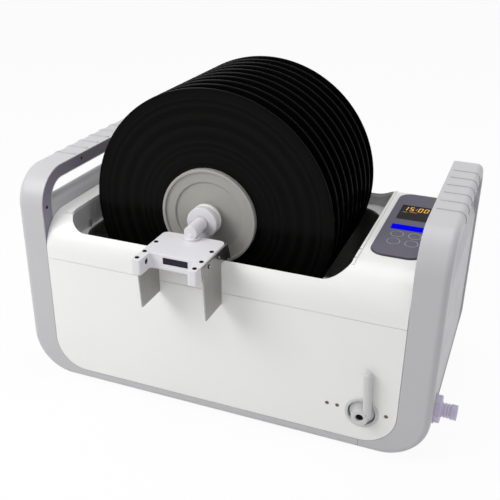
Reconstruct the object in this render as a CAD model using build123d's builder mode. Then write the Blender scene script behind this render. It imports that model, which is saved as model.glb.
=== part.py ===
"""A tabletop machine that cleans gramophone records in an ultrasonic bath.

The frame has +Z up, +X towards the control panel and -Y towards the user. The origin lies on
the surface that the machine stands on, below the middle of its casing. Sizes are millimetres.
"""

from build123d import *
import os
from math import acos, atan2, cos, degrees, hypot, radians, sin, sqrt

os.makedirs("parts", exist_ok=True)

# ---------------------------------------------------------------- driving dimensions
# Casing
casing_length = 516.0
casing_depth = 290.0
casing_height = 276.0
foot_height = 4.0
foot_radius = 13.0
foot_hole_radius = 3.0
foot_inset_x = 92.0
foot_inset_y = 32.0
wall = 3.0
seam = 0.4
over = 1.0
seat_gap = 0.2
cover_gap = 0.1

# Side frames with their carrying handles
side_frame_width = 36.0
post_depth = 20.0
rail_height = 16.0
handle_corner_radius = 45.0
window_corner_radius = 25.0
lower_corner_radius = 54.0
frame_edge_radius = 8.0
side_recess = 2.0
side_recess_floor = 44.0
side_recess_corner = 20.0
grip_roll_radius = 14.0
scoop_drop = 20.0
liner_thickness = 3.0
liner_border = 1.4
liner_gap = 0.2
liner_tail = 54.0
liner_boss_radius = 3.0
liner_screw_y = 135.5
liner_screw_z = 236.0
liner_rail_screw_y = 54.0
rib_count = 6
rib_pitch = 26.4
rib_width = 3.2
rib_rise = 0.8
rib_middle_y = 5.0
rib_inset = 4.0
rib_skirt = 12.0

# Top cover and the well above the tank
cover_drop = 54.0
nose_radius = 42.0
cover_skirt = 52.8
well_left = 200.0
well_right = 151.0
well_edge_inset = 9.0
well_corner = 28.0
well_wall = 2.5
well_depth = 33.0
left_lip_width = 9.0
right_lip_width = 3.0
lip_rise = 1.2
lip_reach_y = 117.0
lip_groove = 1.2
lip_groove_depth = 1.0
wall_rib_pitch = 26.0
wall_rib_width = 2.0
wall_rib_rise = 0.8
wall_rib_count = 6
rim_notch_rows = (-122.0, -105.0, -82.0)
rim_notch_length = 4.0
rim_notch_width = 3.0
rim_notch_depth = 0.8

# Front and rear panels, bottom strips and base
strip_height = 13.7
strip_depth = 12.0
panel_corner_radius = 41.0
panel_lip_depth = 6.0
panel_lip_wall = 2.0
base_thickness = 2.0

# Tank and what is bonded to it
tank_left = 196.0
tank_right = 141.0
tank_side_ledge = 12.0
tank_corner = 45.0
tank_depth = 121.0
tank_bottom_radius = 10.0
tank_sheet = 1.2
tank_flange = 9.0
horn_radius = 23.0
horn_neck_radius = 16.0
horn_height = 24.0
ceramic_radius = 17.5
ceramic_height = 12.0
mass_radius = 16.0
mass_height = 14.0
transducer_pitch_x = 95.0
transducer_pitch_y = 100.0
heater_length = 210.0
heater_height = 60.0
heater_thickness = 1.6
heater_bottom_z = 100.0
basket_pin_radius = 1.5
basket_pin_height = 10.0
basket_pin_head = 1.9
basket_pin_y = 82.0

# Spindle and the records on it
spindle_x = -29.0
spindle_rise = 12.0
spindle_radius = 3.55
record_radius = 150.8
record_hole_radius = 3.62
record_thickness = 1.9
record_groove_thickness = 1.3
record_label_radius = 50.0
record_bead_width = 3.0
record_count = 10
record_pitch = 21.16
first_record_y = -85.0
flange_radius = 59.0
flange_thickness = 7.0
flange_rim_width = 3.6
flange_dish_radius = 42.0
flange_rim_step = 2.4
flange_dish_step = 2.0
flange_boss_radius = 14.0
flange_boss_rise = 1.6
spacer_hub_radius = 13.0
spacer_disc_radius = 54.0
spacer_disc_thickness = 2.2
hub_radius = 18.6
hub_length = 8.0
hub_groove_radius = 16.2
hub_groove_length = 2.0
ring_length = 5.4
hub_chamfer = 0.8
rear_nut_radius = 13.0
rear_nut_length = 9.0
rear_nut_grips = 12

# Drive unit that hangs on the front edge of the well
drive_half_width = 38.5
drive_height = 18.0
drive_lift = 3.0
drive_rear_y = -127.0
drive_face_y = -185.0
drive_front_y = -207.0
drive_arm_width = 11.0
drive_corner = 8.0
drive_tip_corner = 2.4
drive_bend = 4.0
drive_edge = 0.8
drive_boss_radius = 3.0
drive_display_depth = 3.0
drive_wall = 2.0
drive_base_thickness = 1.5
drive_window_width = 30.0
drive_window_height = 8.0
drive_window_shift = 3.0
drive_window_rise = 1.8
hook_thickness = 1.5
hook_front_y = -195.0
hook_toe_y = -187.0
hook_bottom_drop = 52.0
hook_inner_rear_y = -118.0
hook_inner_drop = 7.0
hook_top_inset = 2.0
hook_slot_front_gap = 0.4
hook_slot_rear_y = -133.6
hook_notch = 5.0
hook_seat_gap = 0.3
hook_screw_drop = 6.7
hook_screw_rows = (-179.0, -153.5)
lid_screw_rows = (-201.5, -184.5, -158.0)
lid_screw_inset = 4.6
small_screw_head_radius = 2.0
small_screw_head_height = 0.9
small_screw_radius = 1.1
small_screw_length = 6.0
elbow_radius = 8.0
elbow_y = -135.5
elbow_front_reach = 5.0
elbow_front_wall = 1.1
elbow_rear_y = -111.4
elbow_foot_radius = 8.8
elbow_neck_radius = 5.8
elbow_bore_radius = 6.0
bush_fit = 0.02
shaft_boss_height = 1.4
motor_drop = 18.0
motor_gap = 3.0
motor_shaft_radius = 1.0
jack_y = -193.0
jack_rise = 2.0
jack_wall = 1.5
hub_gap = 1.4
elbow_foot_height = 3.0
shaft_bore_radius = 4.2
bush_length = 4.0
bush_clearance = 0.05
bevel_pitch_radius = 3.2
bevel_teeth = 12
bevel_face = 1.6
bevel_addendum = 0.3
bevel_dedendum = 0.5
bevel_tooth_share = 0.4
bevel_flare = 1.25
bevel_hub_length = 1.6
bevel_hub_radius = 2.3
drive_shaft_radius = 1.5
motor_width = 12.0
motor_height = 10.0
motor_length = 24.0
motor_shaft_length = 5.0
jack_radius = 3.2
jack_bore_radius = 2.0
jack_length = 8.0

# Control panel
control_left = 161.0
control_front_y = -88.0
control_rear_y = 105.0
control_corner = 18.0
bezel_thickness = 1.0
bezel_border = 0.8
overlay_thickness = 1.2
display_left = 171.0
display_right = 211.0
display_front_y = 17.0
display_rear_y = 64.0
display_lens_sink = 0.5
label_front_y = -15.0
label_rear_y = 0.0
label_rise = 0.15
key_columns = (182.0, 202.5)
key_rows = (-50.5, -29.0)
key_radius_x = 7.5
key_radius_y = 8.6
key_line = 0.6
key_rise = 0.25
board_thickness = 1.6
control_board_drop = 9.0
control_board_border = 6.0
key_sensor_size = 9.0
key_sensor_height = 3.0

# Drain line
valve_x = 182.0
valve_z = 56.0
drain_y = -105.0
drain_x = 100.0
pipe_radius = 8.0
pipe_bore_radius = 5.5
valve_body_radius = 15.0
valve_body_length = 46.0
valve_ball_radius = 11.0
valve_neck_radius = 8.0
stem_radius = 4.0
running_gap = 0.05
ball_gap = 0.3
drain_flange_radius = 8.4
drain_flange_thickness = 2.5
drain_thread_radius = 7.0
drain_bend = 12.0
escutcheon_radius = 19.5
escutcheon_thickness = 1.5
cup_radius = 17.3
cup_wall = 1.5
cup_depth = 8.0
lever_disc_radius = 14.5
lever_disc_thickness = 3.0
lever_hub_radius = 10.0
lever_hub_reach = 11.0
lever_arm_offset = 3.0
lever_arm_width = 8.0
lever_arm_depth = 9.0
lever_arm_length = 63.0
lever_edge = 1.6
lever_screw_radius = 3.4
lever_recess_radius = 4.4
lever_recess_depth = 4.0
panel_screw_offsets = (-40.4, -28.4, 27.8)
panel_screw_rise = 2.0
panel_screw_radius = 2.2
panel_screw_sink = 0.4
panel_screw_head = 1.2
barb_thread_radius = 9.4
barb_collar_radius = 12.0
barb_collar_thickness = 3.6
barb_nut_radius = 16.0
barb_nut_length = 6.4
barb_boss_radius = 17.5
barb_boss_rise = 0.6
barb_radius = 8.75
barb_root_radius = 7.6
barb_ridges = 3
barb_ridge_pitch = 3.4
barb_tip_length = 7.3

# Rear panel fittings
fan_x = 182.0
fan_z = 122.0
fan_size = 60.0
fan_depth = 20.0
fan_bore_radius = 28.0
fan_hub_radius = 12.0
fan_hub_wall = 1.5
fan_blades = 7
fan_blade_tip_gap = 1.2
fan_blade_thickness = 1.4
fan_blade_pitch = 38.0
fan_blade_length = 15.0
fan_axle_radius = 1.5
fan_strut_width = 5.0
fan_strut_depth = 2.5
fan_slot_height = 3.0
fan_slot_pitch = 7.0
fan_slot_rows = 8
inlet_x = 130.0
inlet_z = 50.0
inlet_flange_width = 48.0
inlet_flange_height = 23.0
inlet_flange_thickness = 2.5
inlet_body_width = 28.0
inlet_body_height = 21.0
inlet_body_depth = 20.0
inlet_recess_width = 24.0
inlet_recess_height = 17.4
inlet_recess_depth = 16.0
inlet_pin_width = 2.0
inlet_pin_height = 4.0
inlet_pin_length = 13.0
inlet_pin_spread = 7.0
inlet_pin_rise = 2.1
inlet_screw_spread = 40.0
switch_x = 184.0
switch_z = 50.0
switch_width = 23.0
switch_height = 17.0
switch_flange_thickness = 2.0
switch_border = 1.5
switch_depth = 18.0
rocker_gap = 0.5
rocker_tilt = 7.0
rocker_sink = 2.4
rocker_flat = 3.6
rocker_pin_radius = 1.5
rocker_pin_reach = 1.0
panel_fixing_radius = 3.2
panel_fixing_head = 1.6
panel_fixing_shank = 1.6
panel_fixing_length = 9.0
rear_screw_x = 214.0
rear_screw_rows = (66.0, 118.0, 166.0)

# Power supply below the control panel
generator_width = 54.0
generator_length = 165.0
generator_middle_y = 15.0
board_post_height = 8.0
board_post_radius = 3.0
board_post_inset = 6.0
generator_x = 147.0
transformer_size = 34.0
transformer_yoke = 4.0
capacitor_pitch = 24.0
relay_width = 16.0
relay_length = 24.0
relay_height = 18.0
capacitor_radius = 9.0
capacitor_height = 26.0
sink_width = 16.0
sink_length = 64.0
sink_height = 34.0
sink_fins = 7
sink_base = 3.0
sink_middle_y = 20.0

# ---------------------------------------------------------------- worked-out places
half_length = casing_length / 2
half_depth = casing_depth / 2
base_z = foot_height
handle_top_z = base_z + casing_height
cover_z = handle_top_z - cover_drop
seam_z = cover_z - cover_skirt
panel_bottom_z = base_z + strip_height
frame_inner_x = half_length - side_frame_width
strip_half_length = frame_inner_x - panel_corner_radius
window_half_depth = half_depth - post_depth
window_top_z = handle_top_z - rail_height
side_wall_x = half_length - side_recess
side_inner_x = side_wall_x - wall
scoop_lip_z = cover_z - scoop_drop
roll_center = (frame_inner_x + grip_roll_radius, cover_z)
inner_half_depth = half_depth - wall
well_half_depth = half_depth - well_edge_inset
tank_half_depth = well_half_depth - tank_side_ledge
nose_center_y = half_depth - nose_radius
nose_center_z = cover_z - nose_radius
ledge_z = cover_z - well_depth
flange_z = ledge_z - well_wall
tank_floor_z = ledge_z - tank_depth
spindle_z = cover_z + spindle_rise
cover_half_length = frame_inner_x - seam
outer_arc_x = half_length - lower_corner_radius
motor_z = spindle_z - motor_drop
motor_face_y = elbow_y - bevel_pitch_radius - bevel_hub_length - motor_gap
drive_window_z = cover_z + drive_lift - drive_height / 2 + drive_window_rise - drive_window_height / 2
jack_z = motor_z + jack_rise
rim_z = nose_center_z + sqrt(nose_radius ** 2 - (well_half_depth - nose_center_y) ** 2)
hook_slot_top_z = rim_z + hook_seat_gap
hook_slot_front_y = -half_depth - hook_slot_front_gap
hook_notch_y = (hook_slot_rear_y + hook_inner_rear_y) / 2
groove_step = (record_thickness - record_groove_thickness) / 2
record_bead_edge = record_thickness / 4
inner_wall_z = seam_z - wall
liner_bottom_z = cover_z - liner_tail
switch_body_width = switch_width - 2 * switch_border
switch_body_height = switch_height - 2 * switch_border
tank_length = tank_left + tank_right
tank_middle_x = (tank_right - tank_left) / 2
standing = (Align.CENTER, Align.CENTER, Align.MIN)
hanging = (Align.CENTER, Align.CENTER, Align.MAX)


def save(piece, name):
    """Label a finished piece and write it to a file of its own."""
    piece.part.label = name
    export_step(piece.part, f"parts/{name}.step")


def looking(origin, direction):
    """The plane at an origin whose normal is one of the frame's six directions."""
    upright = direction in ((0, 0, 1), (0, 0, -1))
    sideways = (1, 0, 0) if upright else (-direction[1], direction[0], 0)
    return Plane(origin=origin, x_dir=sideways, z_dir=direction)


def turned(outline, origin, direction):
    """Turn a closed outline of (radius, height) points about a line through the origin."""
    stand = looking(origin, direction)
    with BuildPart() as piece:
        with BuildSketch(Plane(origin=origin, x_dir=stand.x_dir, z_dir=-stand.y_dir)):
            with BuildLine():
                Polyline(*outline, close=True)
            make_face()
        revolve(axis=Axis(origin, direction))
    return piece


def rod(origin, direction, radius, length):
    """A round bar from an origin along a direction."""
    with BuildPart(looking(origin, direction)) as piece:
        Cylinder(radius, length, align=standing)
    return piece


def block(low, high):
    """A box between its lowest and its highest corner."""
    with BuildPart() as piece:
        with Locations(low):
            Box(*(top - bottom for bottom, top in zip(low, high)), align=(Align.MIN, Align.MIN, Align.MIN))
    return piece


def rounded_slab(low, high, corner, hollow=0.0):
    """An upright slab between two corners with rounded upright edges, or a ring with a wall."""
    middle = ((low[0] + high[0]) / 2, (low[1] + high[1]) / 2)
    width = high[0] - low[0]
    depth = high[1] - low[1]
    with BuildPart() as piece:
        with BuildSketch(Plane.XY.offset(low[2])):
            with Locations(middle):
                RectangleRounded(width, depth, corner)
                if hollow:
                    RectangleRounded(width - 2 * hollow, depth - 2 * hollow, corner - hollow, mode=Mode.SUBTRACT)
        extrude(amount=high[2] - low[2])
    return piece


def screw(origin, direction, head_radius, head_height, shank_radius, length):
    """A round-headed screw whose head stands on a surface, seen along the head's direction."""
    edge = head_height / 3
    outline = ((0, -length), (shank_radius, -length), (shank_radius, 0), (head_radius, 0),
               (head_radius, head_height - edge), (head_radius - edge, head_height), (0, head_height))
    return turned(outline, origin, direction)


def arch(half_width, top, radius, bottom):
    """Draw a closed upright outline with two rounded upper corners into the open line."""
    FilletPolyline((-half_width, bottom), (-half_width, top), (half_width, top), (half_width, bottom),
                   radius=radius)
    Line((half_width, bottom), (-half_width, bottom))


def arch_band(outer, inner, start_x, end_x):
    """A slab between two x whose shape is one arch less another, each as arch() takes it."""
    with BuildPart() as band:
        with BuildSketch(Plane.YZ.offset(start_x)):
            with BuildLine():
                arch(*outer)
            make_face()
            with BuildLine():
                arch(*inner)
            make_face(mode=Mode.SUBTRACT)
        extrude(amount=end_x - start_x)
    return band


def handle_arch(inset, bottom):
    """The outside of a handle, an inset inside it."""
    return (half_depth - inset, handle_top_z - inset, handle_corner_radius - inset, bottom)


def window_arch(outset, bottom):
    """The hand opening of a handle, an outset outside it."""
    return (window_half_depth + outset, window_top_z + outset, window_corner_radius + outset, bottom)


def cover_arch(outset, bottom):
    """The top cover's section, an outset outside its skin."""
    return (half_depth + outset, cover_z + outset, nose_radius + outset, bottom)


def grip_line(depth):
    """Draw the grip's roll and scoop, a depth below their skin, and return the line's two ends."""
    reach_x = side_wall_x - roll_center[0]
    reach_z = scoop_lip_z - roll_center[1]
    leave = acos(grip_roll_radius / hypot(reach_x, reach_z)) + atan2(reach_z, reach_x)
    radius = grip_roll_radius - depth
    tangent = (roll_center[0] + radius * cos(leave), roll_center[1] + radius * sin(leave))
    end_x = side_wall_x - depth
    end = (end_x, tangent[1] - (end_x - tangent[0]) / sin(leave) * cos(leave))
    CenterArc(roll_center, radius, 180, degrees(leave) - 180)
    Line(tangent, end)
    return (roll_center[0] - radius, roll_center[1]), end


def mirrored(piece):
    """The same piece on the other side of the machine."""
    with BuildPart() as twin:
        mirror(piece.part, about=Plane.YZ)
    return twin


# ---------------------------------------------------------------- side frames
with BuildPart() as grip_space:
    with BuildSketch(Plane.XZ):
        with BuildLine():
            inner_end, lip_end = grip_line(0)
            Polyline(lip_end, (half_length + over, lip_end[1]), (half_length + over, handle_top_z),
                     (frame_inner_x - over, handle_top_z), (frame_inner_x - over, inner_end[1]), inner_end)
        make_face()
    extrude(amount=half_depth, both=True)
    with BuildSketch(Plane.YZ.offset(frame_inner_x - over)):
        with BuildLine():
            arch(*window_arch(0, seam_z))
        make_face()
    extrude(amount=side_frame_width + 2 * over, mode=Mode.INTERSECT)

with BuildPart() as frame_hollow:
    with BuildSketch(Plane.XZ):
        with BuildLine():
            inner_end, lip_end = grip_line(wall)
            flat_share = degrees(acos((side_inner_x - outer_arc_x) / (lower_corner_radius - wall)))
            floor_arc = CenterArc((outer_arc_x, base_z + lower_corner_radius), lower_corner_radius - wall,
                                  -90, 90 - flat_share)
            Line(floor_arc @ 1, lip_end)
            Polyline(inner_end, (inner_end[0], inner_wall_z), (strip_half_length - over, inner_wall_z),
                     (strip_half_length - over, base_z + wall), floor_arc @ 0)
        make_face()
    extrude(amount=inner_half_depth, both=True)

post_channel = arch_band(handle_arch(wall, liner_bottom_z + liner_border), window_arch(wall, seam_z - over),
                         frame_inner_x - over, half_length - wall)
liner_rebate = arch_band(handle_arch(liner_border, liner_bottom_z), window_arch(liner_border, seam_z - over),
                         frame_inner_x - over, frame_inner_x + liner_thickness)
liner_screw_places = [(side * liner_screw_y, liner_screw_z) for side in (-1, 1)]
liner_screw_places += [(side * liner_rail_screw_y, window_top_z + rail_height / 2 + over) for side in (-1, 1)]

with BuildPart() as frame_blank:
    with BuildSketch(Plane.XZ):
        with BuildLine():
            Polyline((strip_half_length, panel_bottom_z), (strip_half_length, base_z), (outer_arc_x, base_z))
            CenterArc((outer_arc_x, base_z + lower_corner_radius), lower_corner_radius, -90, 90)
            Polyline((half_length, base_z + lower_corner_radius), (half_length, handle_top_z),
                     (frame_inner_x, handle_top_z), (frame_inner_x, panel_bottom_z + panel_corner_radius))
            CenterArc((strip_half_length, panel_bottom_z + panel_corner_radius), panel_corner_radius, 0, -90)
        make_face()
    extrude(amount=half_depth, both=True)
    fillet(frame_blank.edges().filter_by(Axis.X).group_by(Axis.Z)[-1], radius=handle_corner_radius)
    outer_face = frame_blank.faces().filter_by(Axis.X).sort_by(Axis.X)[-1]
    rounded = outer_face.edges().sort_by(Axis.Z)[1:]
    rounded += frame_blank.edges().filter_by(GeomType.CIRCLE).filter_by(
        lambda edge: abs(edge.radius - lower_corner_radius) < seam)
    rounded += frame_blank.edges().filter_by(Axis.X).group_by(Axis.Z)[0]
    fillet(rounded, radius=frame_edge_radius)
    add(grip_space.part, mode=Mode.SUBTRACT)
    add(frame_hollow.part, mode=Mode.SUBTRACT)
    add(post_channel.part, mode=Mode.SUBTRACT)
    add(liner_rebate.part, mode=Mode.SUBTRACT)
    with BuildSketch(Plane.YZ.offset(side_wall_x)):
        recess_top = scoop_lip_z + side_recess_corner
        recess_bottom = base_z + side_recess_floor
        with Locations((0, (recess_top + recess_bottom) / 2)):
            RectangleRounded(2 * window_half_depth, recess_top - recess_bottom, side_recess_corner)
    extrude(amount=side_recess + over, mode=Mode.SUBTRACT)
    with BuildSketch(Plane.YZ.offset(frame_inner_x + liner_thickness)):
        with Locations(liner_screw_places):
            Circle(liner_boss_radius)
            Circle(small_screw_radius, mode=Mode.SUBTRACT)
    extrude(amount=side_frame_width - liner_thickness - wall)
    rib_corner = (half_length - frame_edge_radius, handle_top_z - frame_edge_radius)
    rib_low_z = handle_top_z - rib_skirt
    rib_end_x = frame_inner_x + rib_inset
    for row in range(rib_count):
        rib_y = rib_middle_y + (row - (rib_count - 1) / 2) * rib_pitch
        with BuildSketch(Plane.XZ.offset(-rib_y)):
            with BuildLine():
                CenterArc(rib_corner, frame_edge_radius + rib_rise, 0, 90)
                CenterArc(rib_corner, frame_edge_radius - rib_rise, 0, 90)
                Polyline((half_length + rib_rise, rib_corner[1]), (half_length + rib_rise, rib_low_z),
                         (half_length - rib_rise, rib_low_z), (half_length - rib_rise, rib_corner[1]))
                Polyline((rib_corner[0], handle_top_z + rib_rise), (rib_end_x, handle_top_z + rib_rise),
                         (rib_end_x, handle_top_z - rib_rise), (rib_corner[0], handle_top_z - rib_rise))
            make_face()
        extrude(amount=rib_width / 2, both=True)

barb_boss = rod((side_inner_x, drain_y, valve_z), (1, 0, 0), barb_boss_radius,
                side_recess + wall + barb_boss_rise)
barb_hole = rod((side_inner_x - over, drain_y, valve_z), (1, 0, 0), barb_thread_radius + seat_gap,
                wall * 2 + side_recess)
with BuildPart() as right_side_frame:
    add(frame_blank.part)
    add(barb_boss.part)
    add(barb_hole.part, mode=Mode.SUBTRACT)
save(right_side_frame, "right_side_frame")
left_side_frame = mirrored(frame_blank)
save(left_side_frame, "left_side_frame")

liner_slab = arch_band(handle_arch(liner_border + liner_gap, liner_bottom_z + liner_gap),
                       window_arch(liner_border + liner_gap, seam_z - over),
                       frame_inner_x, frame_inner_x + liner_thickness)
with BuildPart() as right_handle_liner:
    add(liner_slab.part)
    with BuildSketch(Plane.YZ.offset(frame_inner_x)):
        with Locations(liner_screw_places):
            Circle(small_screw_radius + seat_gap)
    extrude(amount=liner_thickness, mode=Mode.SUBTRACT)
    with BuildSketch(Plane.YZ.offset(frame_inner_x)):
        with Locations(liner_screw_places):
            Circle(small_screw_head_radius + seat_gap)
    extrude(amount=small_screw_head_height + seat_gap, mode=Mode.SUBTRACT)
save(right_handle_liner, "right_handle_liner")
left_handle_liner = mirrored(right_handle_liner)
save(left_handle_liner, "left_handle_liner")

liner_screw_seat_x = frame_inner_x + small_screw_head_height + seat_gap
right_screws = [screw((liner_screw_seat_x, y, z), (-1, 0, 0), small_screw_head_radius,
                      small_screw_head_height, small_screw_radius - seat_gap, small_screw_length)
                for y, z in liner_screw_places]
with BuildPart() as handle_liner_screws:
    add([piece.part for piece in right_screws])
    mirror(about=Plane.YZ)
save(handle_liner_screws, "handle_liner_screws")

# ---------------------------------------------------------------- top cover and well
lips = [arch_band(cover_arch(lip_rise, seam_z), cover_arch(-lip_rise, seam_z), start, start + width)
        for start, width in ((-well_left - left_lip_width, left_lip_width), (well_right, right_lip_width))]
lip_limit = block((-half_length, -lip_reach_y, seam_z), (half_length, lip_reach_y, handle_top_z))
groove = arch_band(cover_arch(over, seam_z), cover_arch(-lip_groove_depth, seam_z),
                   -well_left - left_lip_width - lip_groove, -well_left - left_lip_width)
with BuildPart() as lip_pair:
    add([lip.part for lip in lips])
    add(lip_limit.part, mode=Mode.INTERSECT)
with BuildPart() as groove_cut:
    add(groove.part)
    add(lip_limit.part, mode=Mode.INTERSECT)
well_cut = rounded_slab((-well_left, -well_half_depth, seam_z), (well_right, well_half_depth, handle_top_z),
                        well_corner)
display_hole = block((display_left, display_front_y, cover_z - wall - over),
                     (display_right, display_rear_y, handle_top_z))
with BuildPart() as top_cover:
    with BuildSketch(Plane.YZ):
        with BuildLine():
            arch(*cover_arch(0, seam_z))
        make_face()
        with BuildLine():
            arch(*cover_arch(-wall, seam_z))
        make_face(mode=Mode.SUBTRACT)
    extrude(amount=cover_half_length, both=True)
    add(lip_pair.part)
    add(groove_cut.part, mode=Mode.SUBTRACT)
    add(well_cut.part, mode=Mode.SUBTRACT)
    add(display_hole.part, mode=Mode.SUBTRACT)
    with Locations([(well_right, y, cover_z - rim_notch_depth) for y in rim_notch_rows]):
        Box(rim_notch_length, rim_notch_width, handle_top_z, mode=Mode.SUBTRACT,
            align=(Align.MIN, Align.CENTER, Align.MIN))
save(top_cover, "top_cover")

surround_shell = rounded_slab((-well_left - well_wall, -well_half_depth - well_wall, flange_z),
                              (well_right + well_wall, well_half_depth + well_wall, cover_z),
                              well_corner + well_wall)
surround_space = rounded_slab((-well_left, -well_half_depth, ledge_z), (well_right, well_half_depth, cover_z),
                              well_corner)
tank_mouth = rounded_slab((-tank_left, -tank_half_depth, tank_floor_z),
                          (tank_right, tank_half_depth, handle_top_z), tank_corner)
wall_rib_rows = [(row - (wall_rib_count - 1) / 2) * wall_rib_pitch for row in range(wall_rib_count)]
wall_ribs = [block((-well_left - well_wall / 2, y - wall_rib_width / 2, ledge_z),
                   (-well_left + wall_rib_rise, y + wall_rib_width / 2, cover_z - wall)) for y in wall_rib_rows]
with BuildPart() as tank_surround:
    add(surround_shell.part)
    add(surround_space.part, mode=Mode.SUBTRACT)
    add([rib.part for rib in wall_ribs])
    add(tank_mouth.part, mode=Mode.SUBTRACT)
    with BuildSketch(Plane.YZ):
        with BuildLine():
            arch(*cover_arch(-wall - cover_gap, seam_z))
        make_face()
    extrude(amount=half_length, both=True, mode=Mode.INTERSECT)
save(tank_surround, "tank_surround")

pin_x = -(well_left + tank_left) / 2
pin_outline = ((0, 0), (basket_pin_radius, 0), (basket_pin_radius, basket_pin_height - basket_pin_head),
               (basket_pin_head, basket_pin_height - basket_pin_radius), (basket_pin_head, basket_pin_height),
               (0, basket_pin_height))
pins = [turned(pin_outline, (pin_x, side * basket_pin_y, ledge_z), (0, 0, 1)) for side in (-1, 1)]
with BuildPart() as basket_pins:
    add([pin.part for pin in pins])
save(basket_pins, "basket_pins")

# ---------------------------------------------------------------- tank
with BuildPart() as tank:
    with BuildSketch(Plane.XY.offset(tank_floor_z - tank_sheet)):
        with Locations((tank_middle_x, 0)):
            RectangleRounded(tank_length + 2 * tank_sheet, 2 * (tank_half_depth + tank_sheet),
                             tank_corner + tank_sheet)
    extrude(amount=flange_z - tank_floor_z + tank_sheet)
    fillet(tank.edges().group_by(Axis.Z)[0], radius=tank_bottom_radius + tank_sheet)
    with BuildSketch(Plane.XY.offset(flange_z - tank_sheet)):
        with Locations((tank_middle_x, 0)):
            RectangleRounded(tank_length + 2 * tank_flange, 2 * (tank_half_depth + tank_flange),
                             tank_corner + tank_flange)
    extrude(amount=tank_sheet)
with BuildPart() as tank_space:
    add(tank_mouth.part)
    fillet(tank_space.edges().group_by(Axis.Z)[0], radius=tank_bottom_radius)
drain_hole = rod((drain_x, drain_y, tank_floor_z - tank_sheet - over), (0, 0, 1),
                 drain_thread_radius + seat_gap, wall)
with BuildPart() as tank_shell:
    add(tank.part)
    add(tank_space.part, mode=Mode.SUBTRACT)
    add(drain_hole.part, mode=Mode.SUBTRACT)
save(tank_shell, "tank")

transducer_top_z = tank_floor_z - tank_sheet
ceramic_top_z = transducer_top_z - horn_height
mass_top_z = ceramic_top_z - ceramic_height
transducer_places = [(tank_middle_x + column * transducer_pitch_x, row * transducer_pitch_y / 2)
                     for column in (-1, 0, 1) for row in (-1, 1)]
horn_outline = ((0, 0), (horn_radius, 0), (horn_radius, horn_height / 4), (horn_neck_radius, horn_height / 2),
                (horn_neck_radius, horn_height), (0, horn_height))
with BuildPart() as transducer_horns:
    for place in transducer_places:
        add(turned(horn_outline, (*place, transducer_top_z), (0, 0, -1)).part)
save(transducer_horns, "transducer_horns")
with BuildPart(Plane.XY.offset(ceramic_top_z)) as transducer_ceramics:
    with Locations(transducer_places):
        Cylinder(ceramic_radius, ceramic_height, align=hanging)
save(transducer_ceramics, "transducer_ceramics")
with BuildPart(Plane.XY.offset(mass_top_z)) as transducer_back_masses:
    with Locations(transducer_places):
        Cylinder(mass_radius, mass_height, align=hanging)
save(transducer_back_masses, "transducer_back_masses")

heater_y = tank_half_depth + tank_sheet
tank_heater = block((tank_middle_x - heater_length / 2, heater_y, heater_bottom_z),
                    (tank_middle_x + heater_length / 2, heater_y + heater_thickness,
                     heater_bottom_z + heater_height))
save(tank_heater, "tank_heater")

# ---------------------------------------------------------------- panels, strips and base
front_hole = rod((valve_x, -inner_half_depth + over, valve_z), (0, -1, 0), cup_radius + seat_gap,
                 wall + 2 * over)
with BuildPart() as panel_blank:
    with BuildSketch(Plane.XZ.offset(inner_half_depth)):
        panel_low_z = panel_bottom_z + seam
        panel_top_z = seam_z - seam
        with BuildLine():
            FilletPolyline((-cover_half_length, panel_top_z), (-cover_half_length, panel_low_z),
                           (cover_half_length, panel_low_z), (cover_half_length, panel_top_z),
                           radius=panel_corner_radius - seam)
            Line((-cover_half_length, panel_top_z), (cover_half_length, panel_top_z))
        make_face()
    extrude(amount=wall)
    with BuildSketch(Plane.XZ.offset(inner_half_depth - panel_lip_depth)):
        with BuildLine():
            FilletPolyline((-cover_half_length + panel_lip_wall, panel_top_z - panel_lip_wall),
                           (-cover_half_length + panel_lip_wall, panel_low_z + panel_lip_wall),
                           (cover_half_length - panel_lip_wall, panel_low_z + panel_lip_wall),
                           (cover_half_length - panel_lip_wall, panel_top_z - panel_lip_wall),
                           radius=panel_corner_radius - seam - panel_lip_wall)
            Line((-cover_half_length + panel_lip_wall, panel_top_z - panel_lip_wall),
                 (cover_half_length - panel_lip_wall, panel_top_z - panel_lip_wall))
        make_face()
        offset(amount=-panel_lip_wall, kind=Kind.INTERSECTION, mode=Mode.SUBTRACT)
    extrude(amount=panel_lip_depth)
panel_screw_places = [(valve_x + shift, valve_z + panel_screw_rise) for shift in panel_screw_offsets]
with BuildPart() as front_panel:
    add(panel_blank.part)
    add(front_hole.part, mode=Mode.SUBTRACT)
    with BuildSketch(Plane.XZ.offset(half_depth - panel_screw_sink - panel_screw_head)):
        with Locations(panel_screw_places):
            Circle(panel_screw_radius + seat_gap)
    extrude(amount=wall, mode=Mode.SUBTRACT)
    with BuildSketch(Plane.XZ.offset(inner_half_depth)):
        with Locations(panel_screw_places):
            Circle(small_screw_radius + seat_gap)
    extrude(amount=wall, mode=Mode.SUBTRACT)
save(front_panel, "front_panel")



def rear_opening(x, z, width, height):
    """The block that cuts a fitting's opening, with its clearance, out of the rear panel."""
    reach_x = width / 2 + seat_gap
    reach_z = height / 2 + seat_gap
    return block((x - reach_x, inner_half_depth - over, z - reach_z), (x + reach_x, half_depth + over, z + reach_z))


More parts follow.
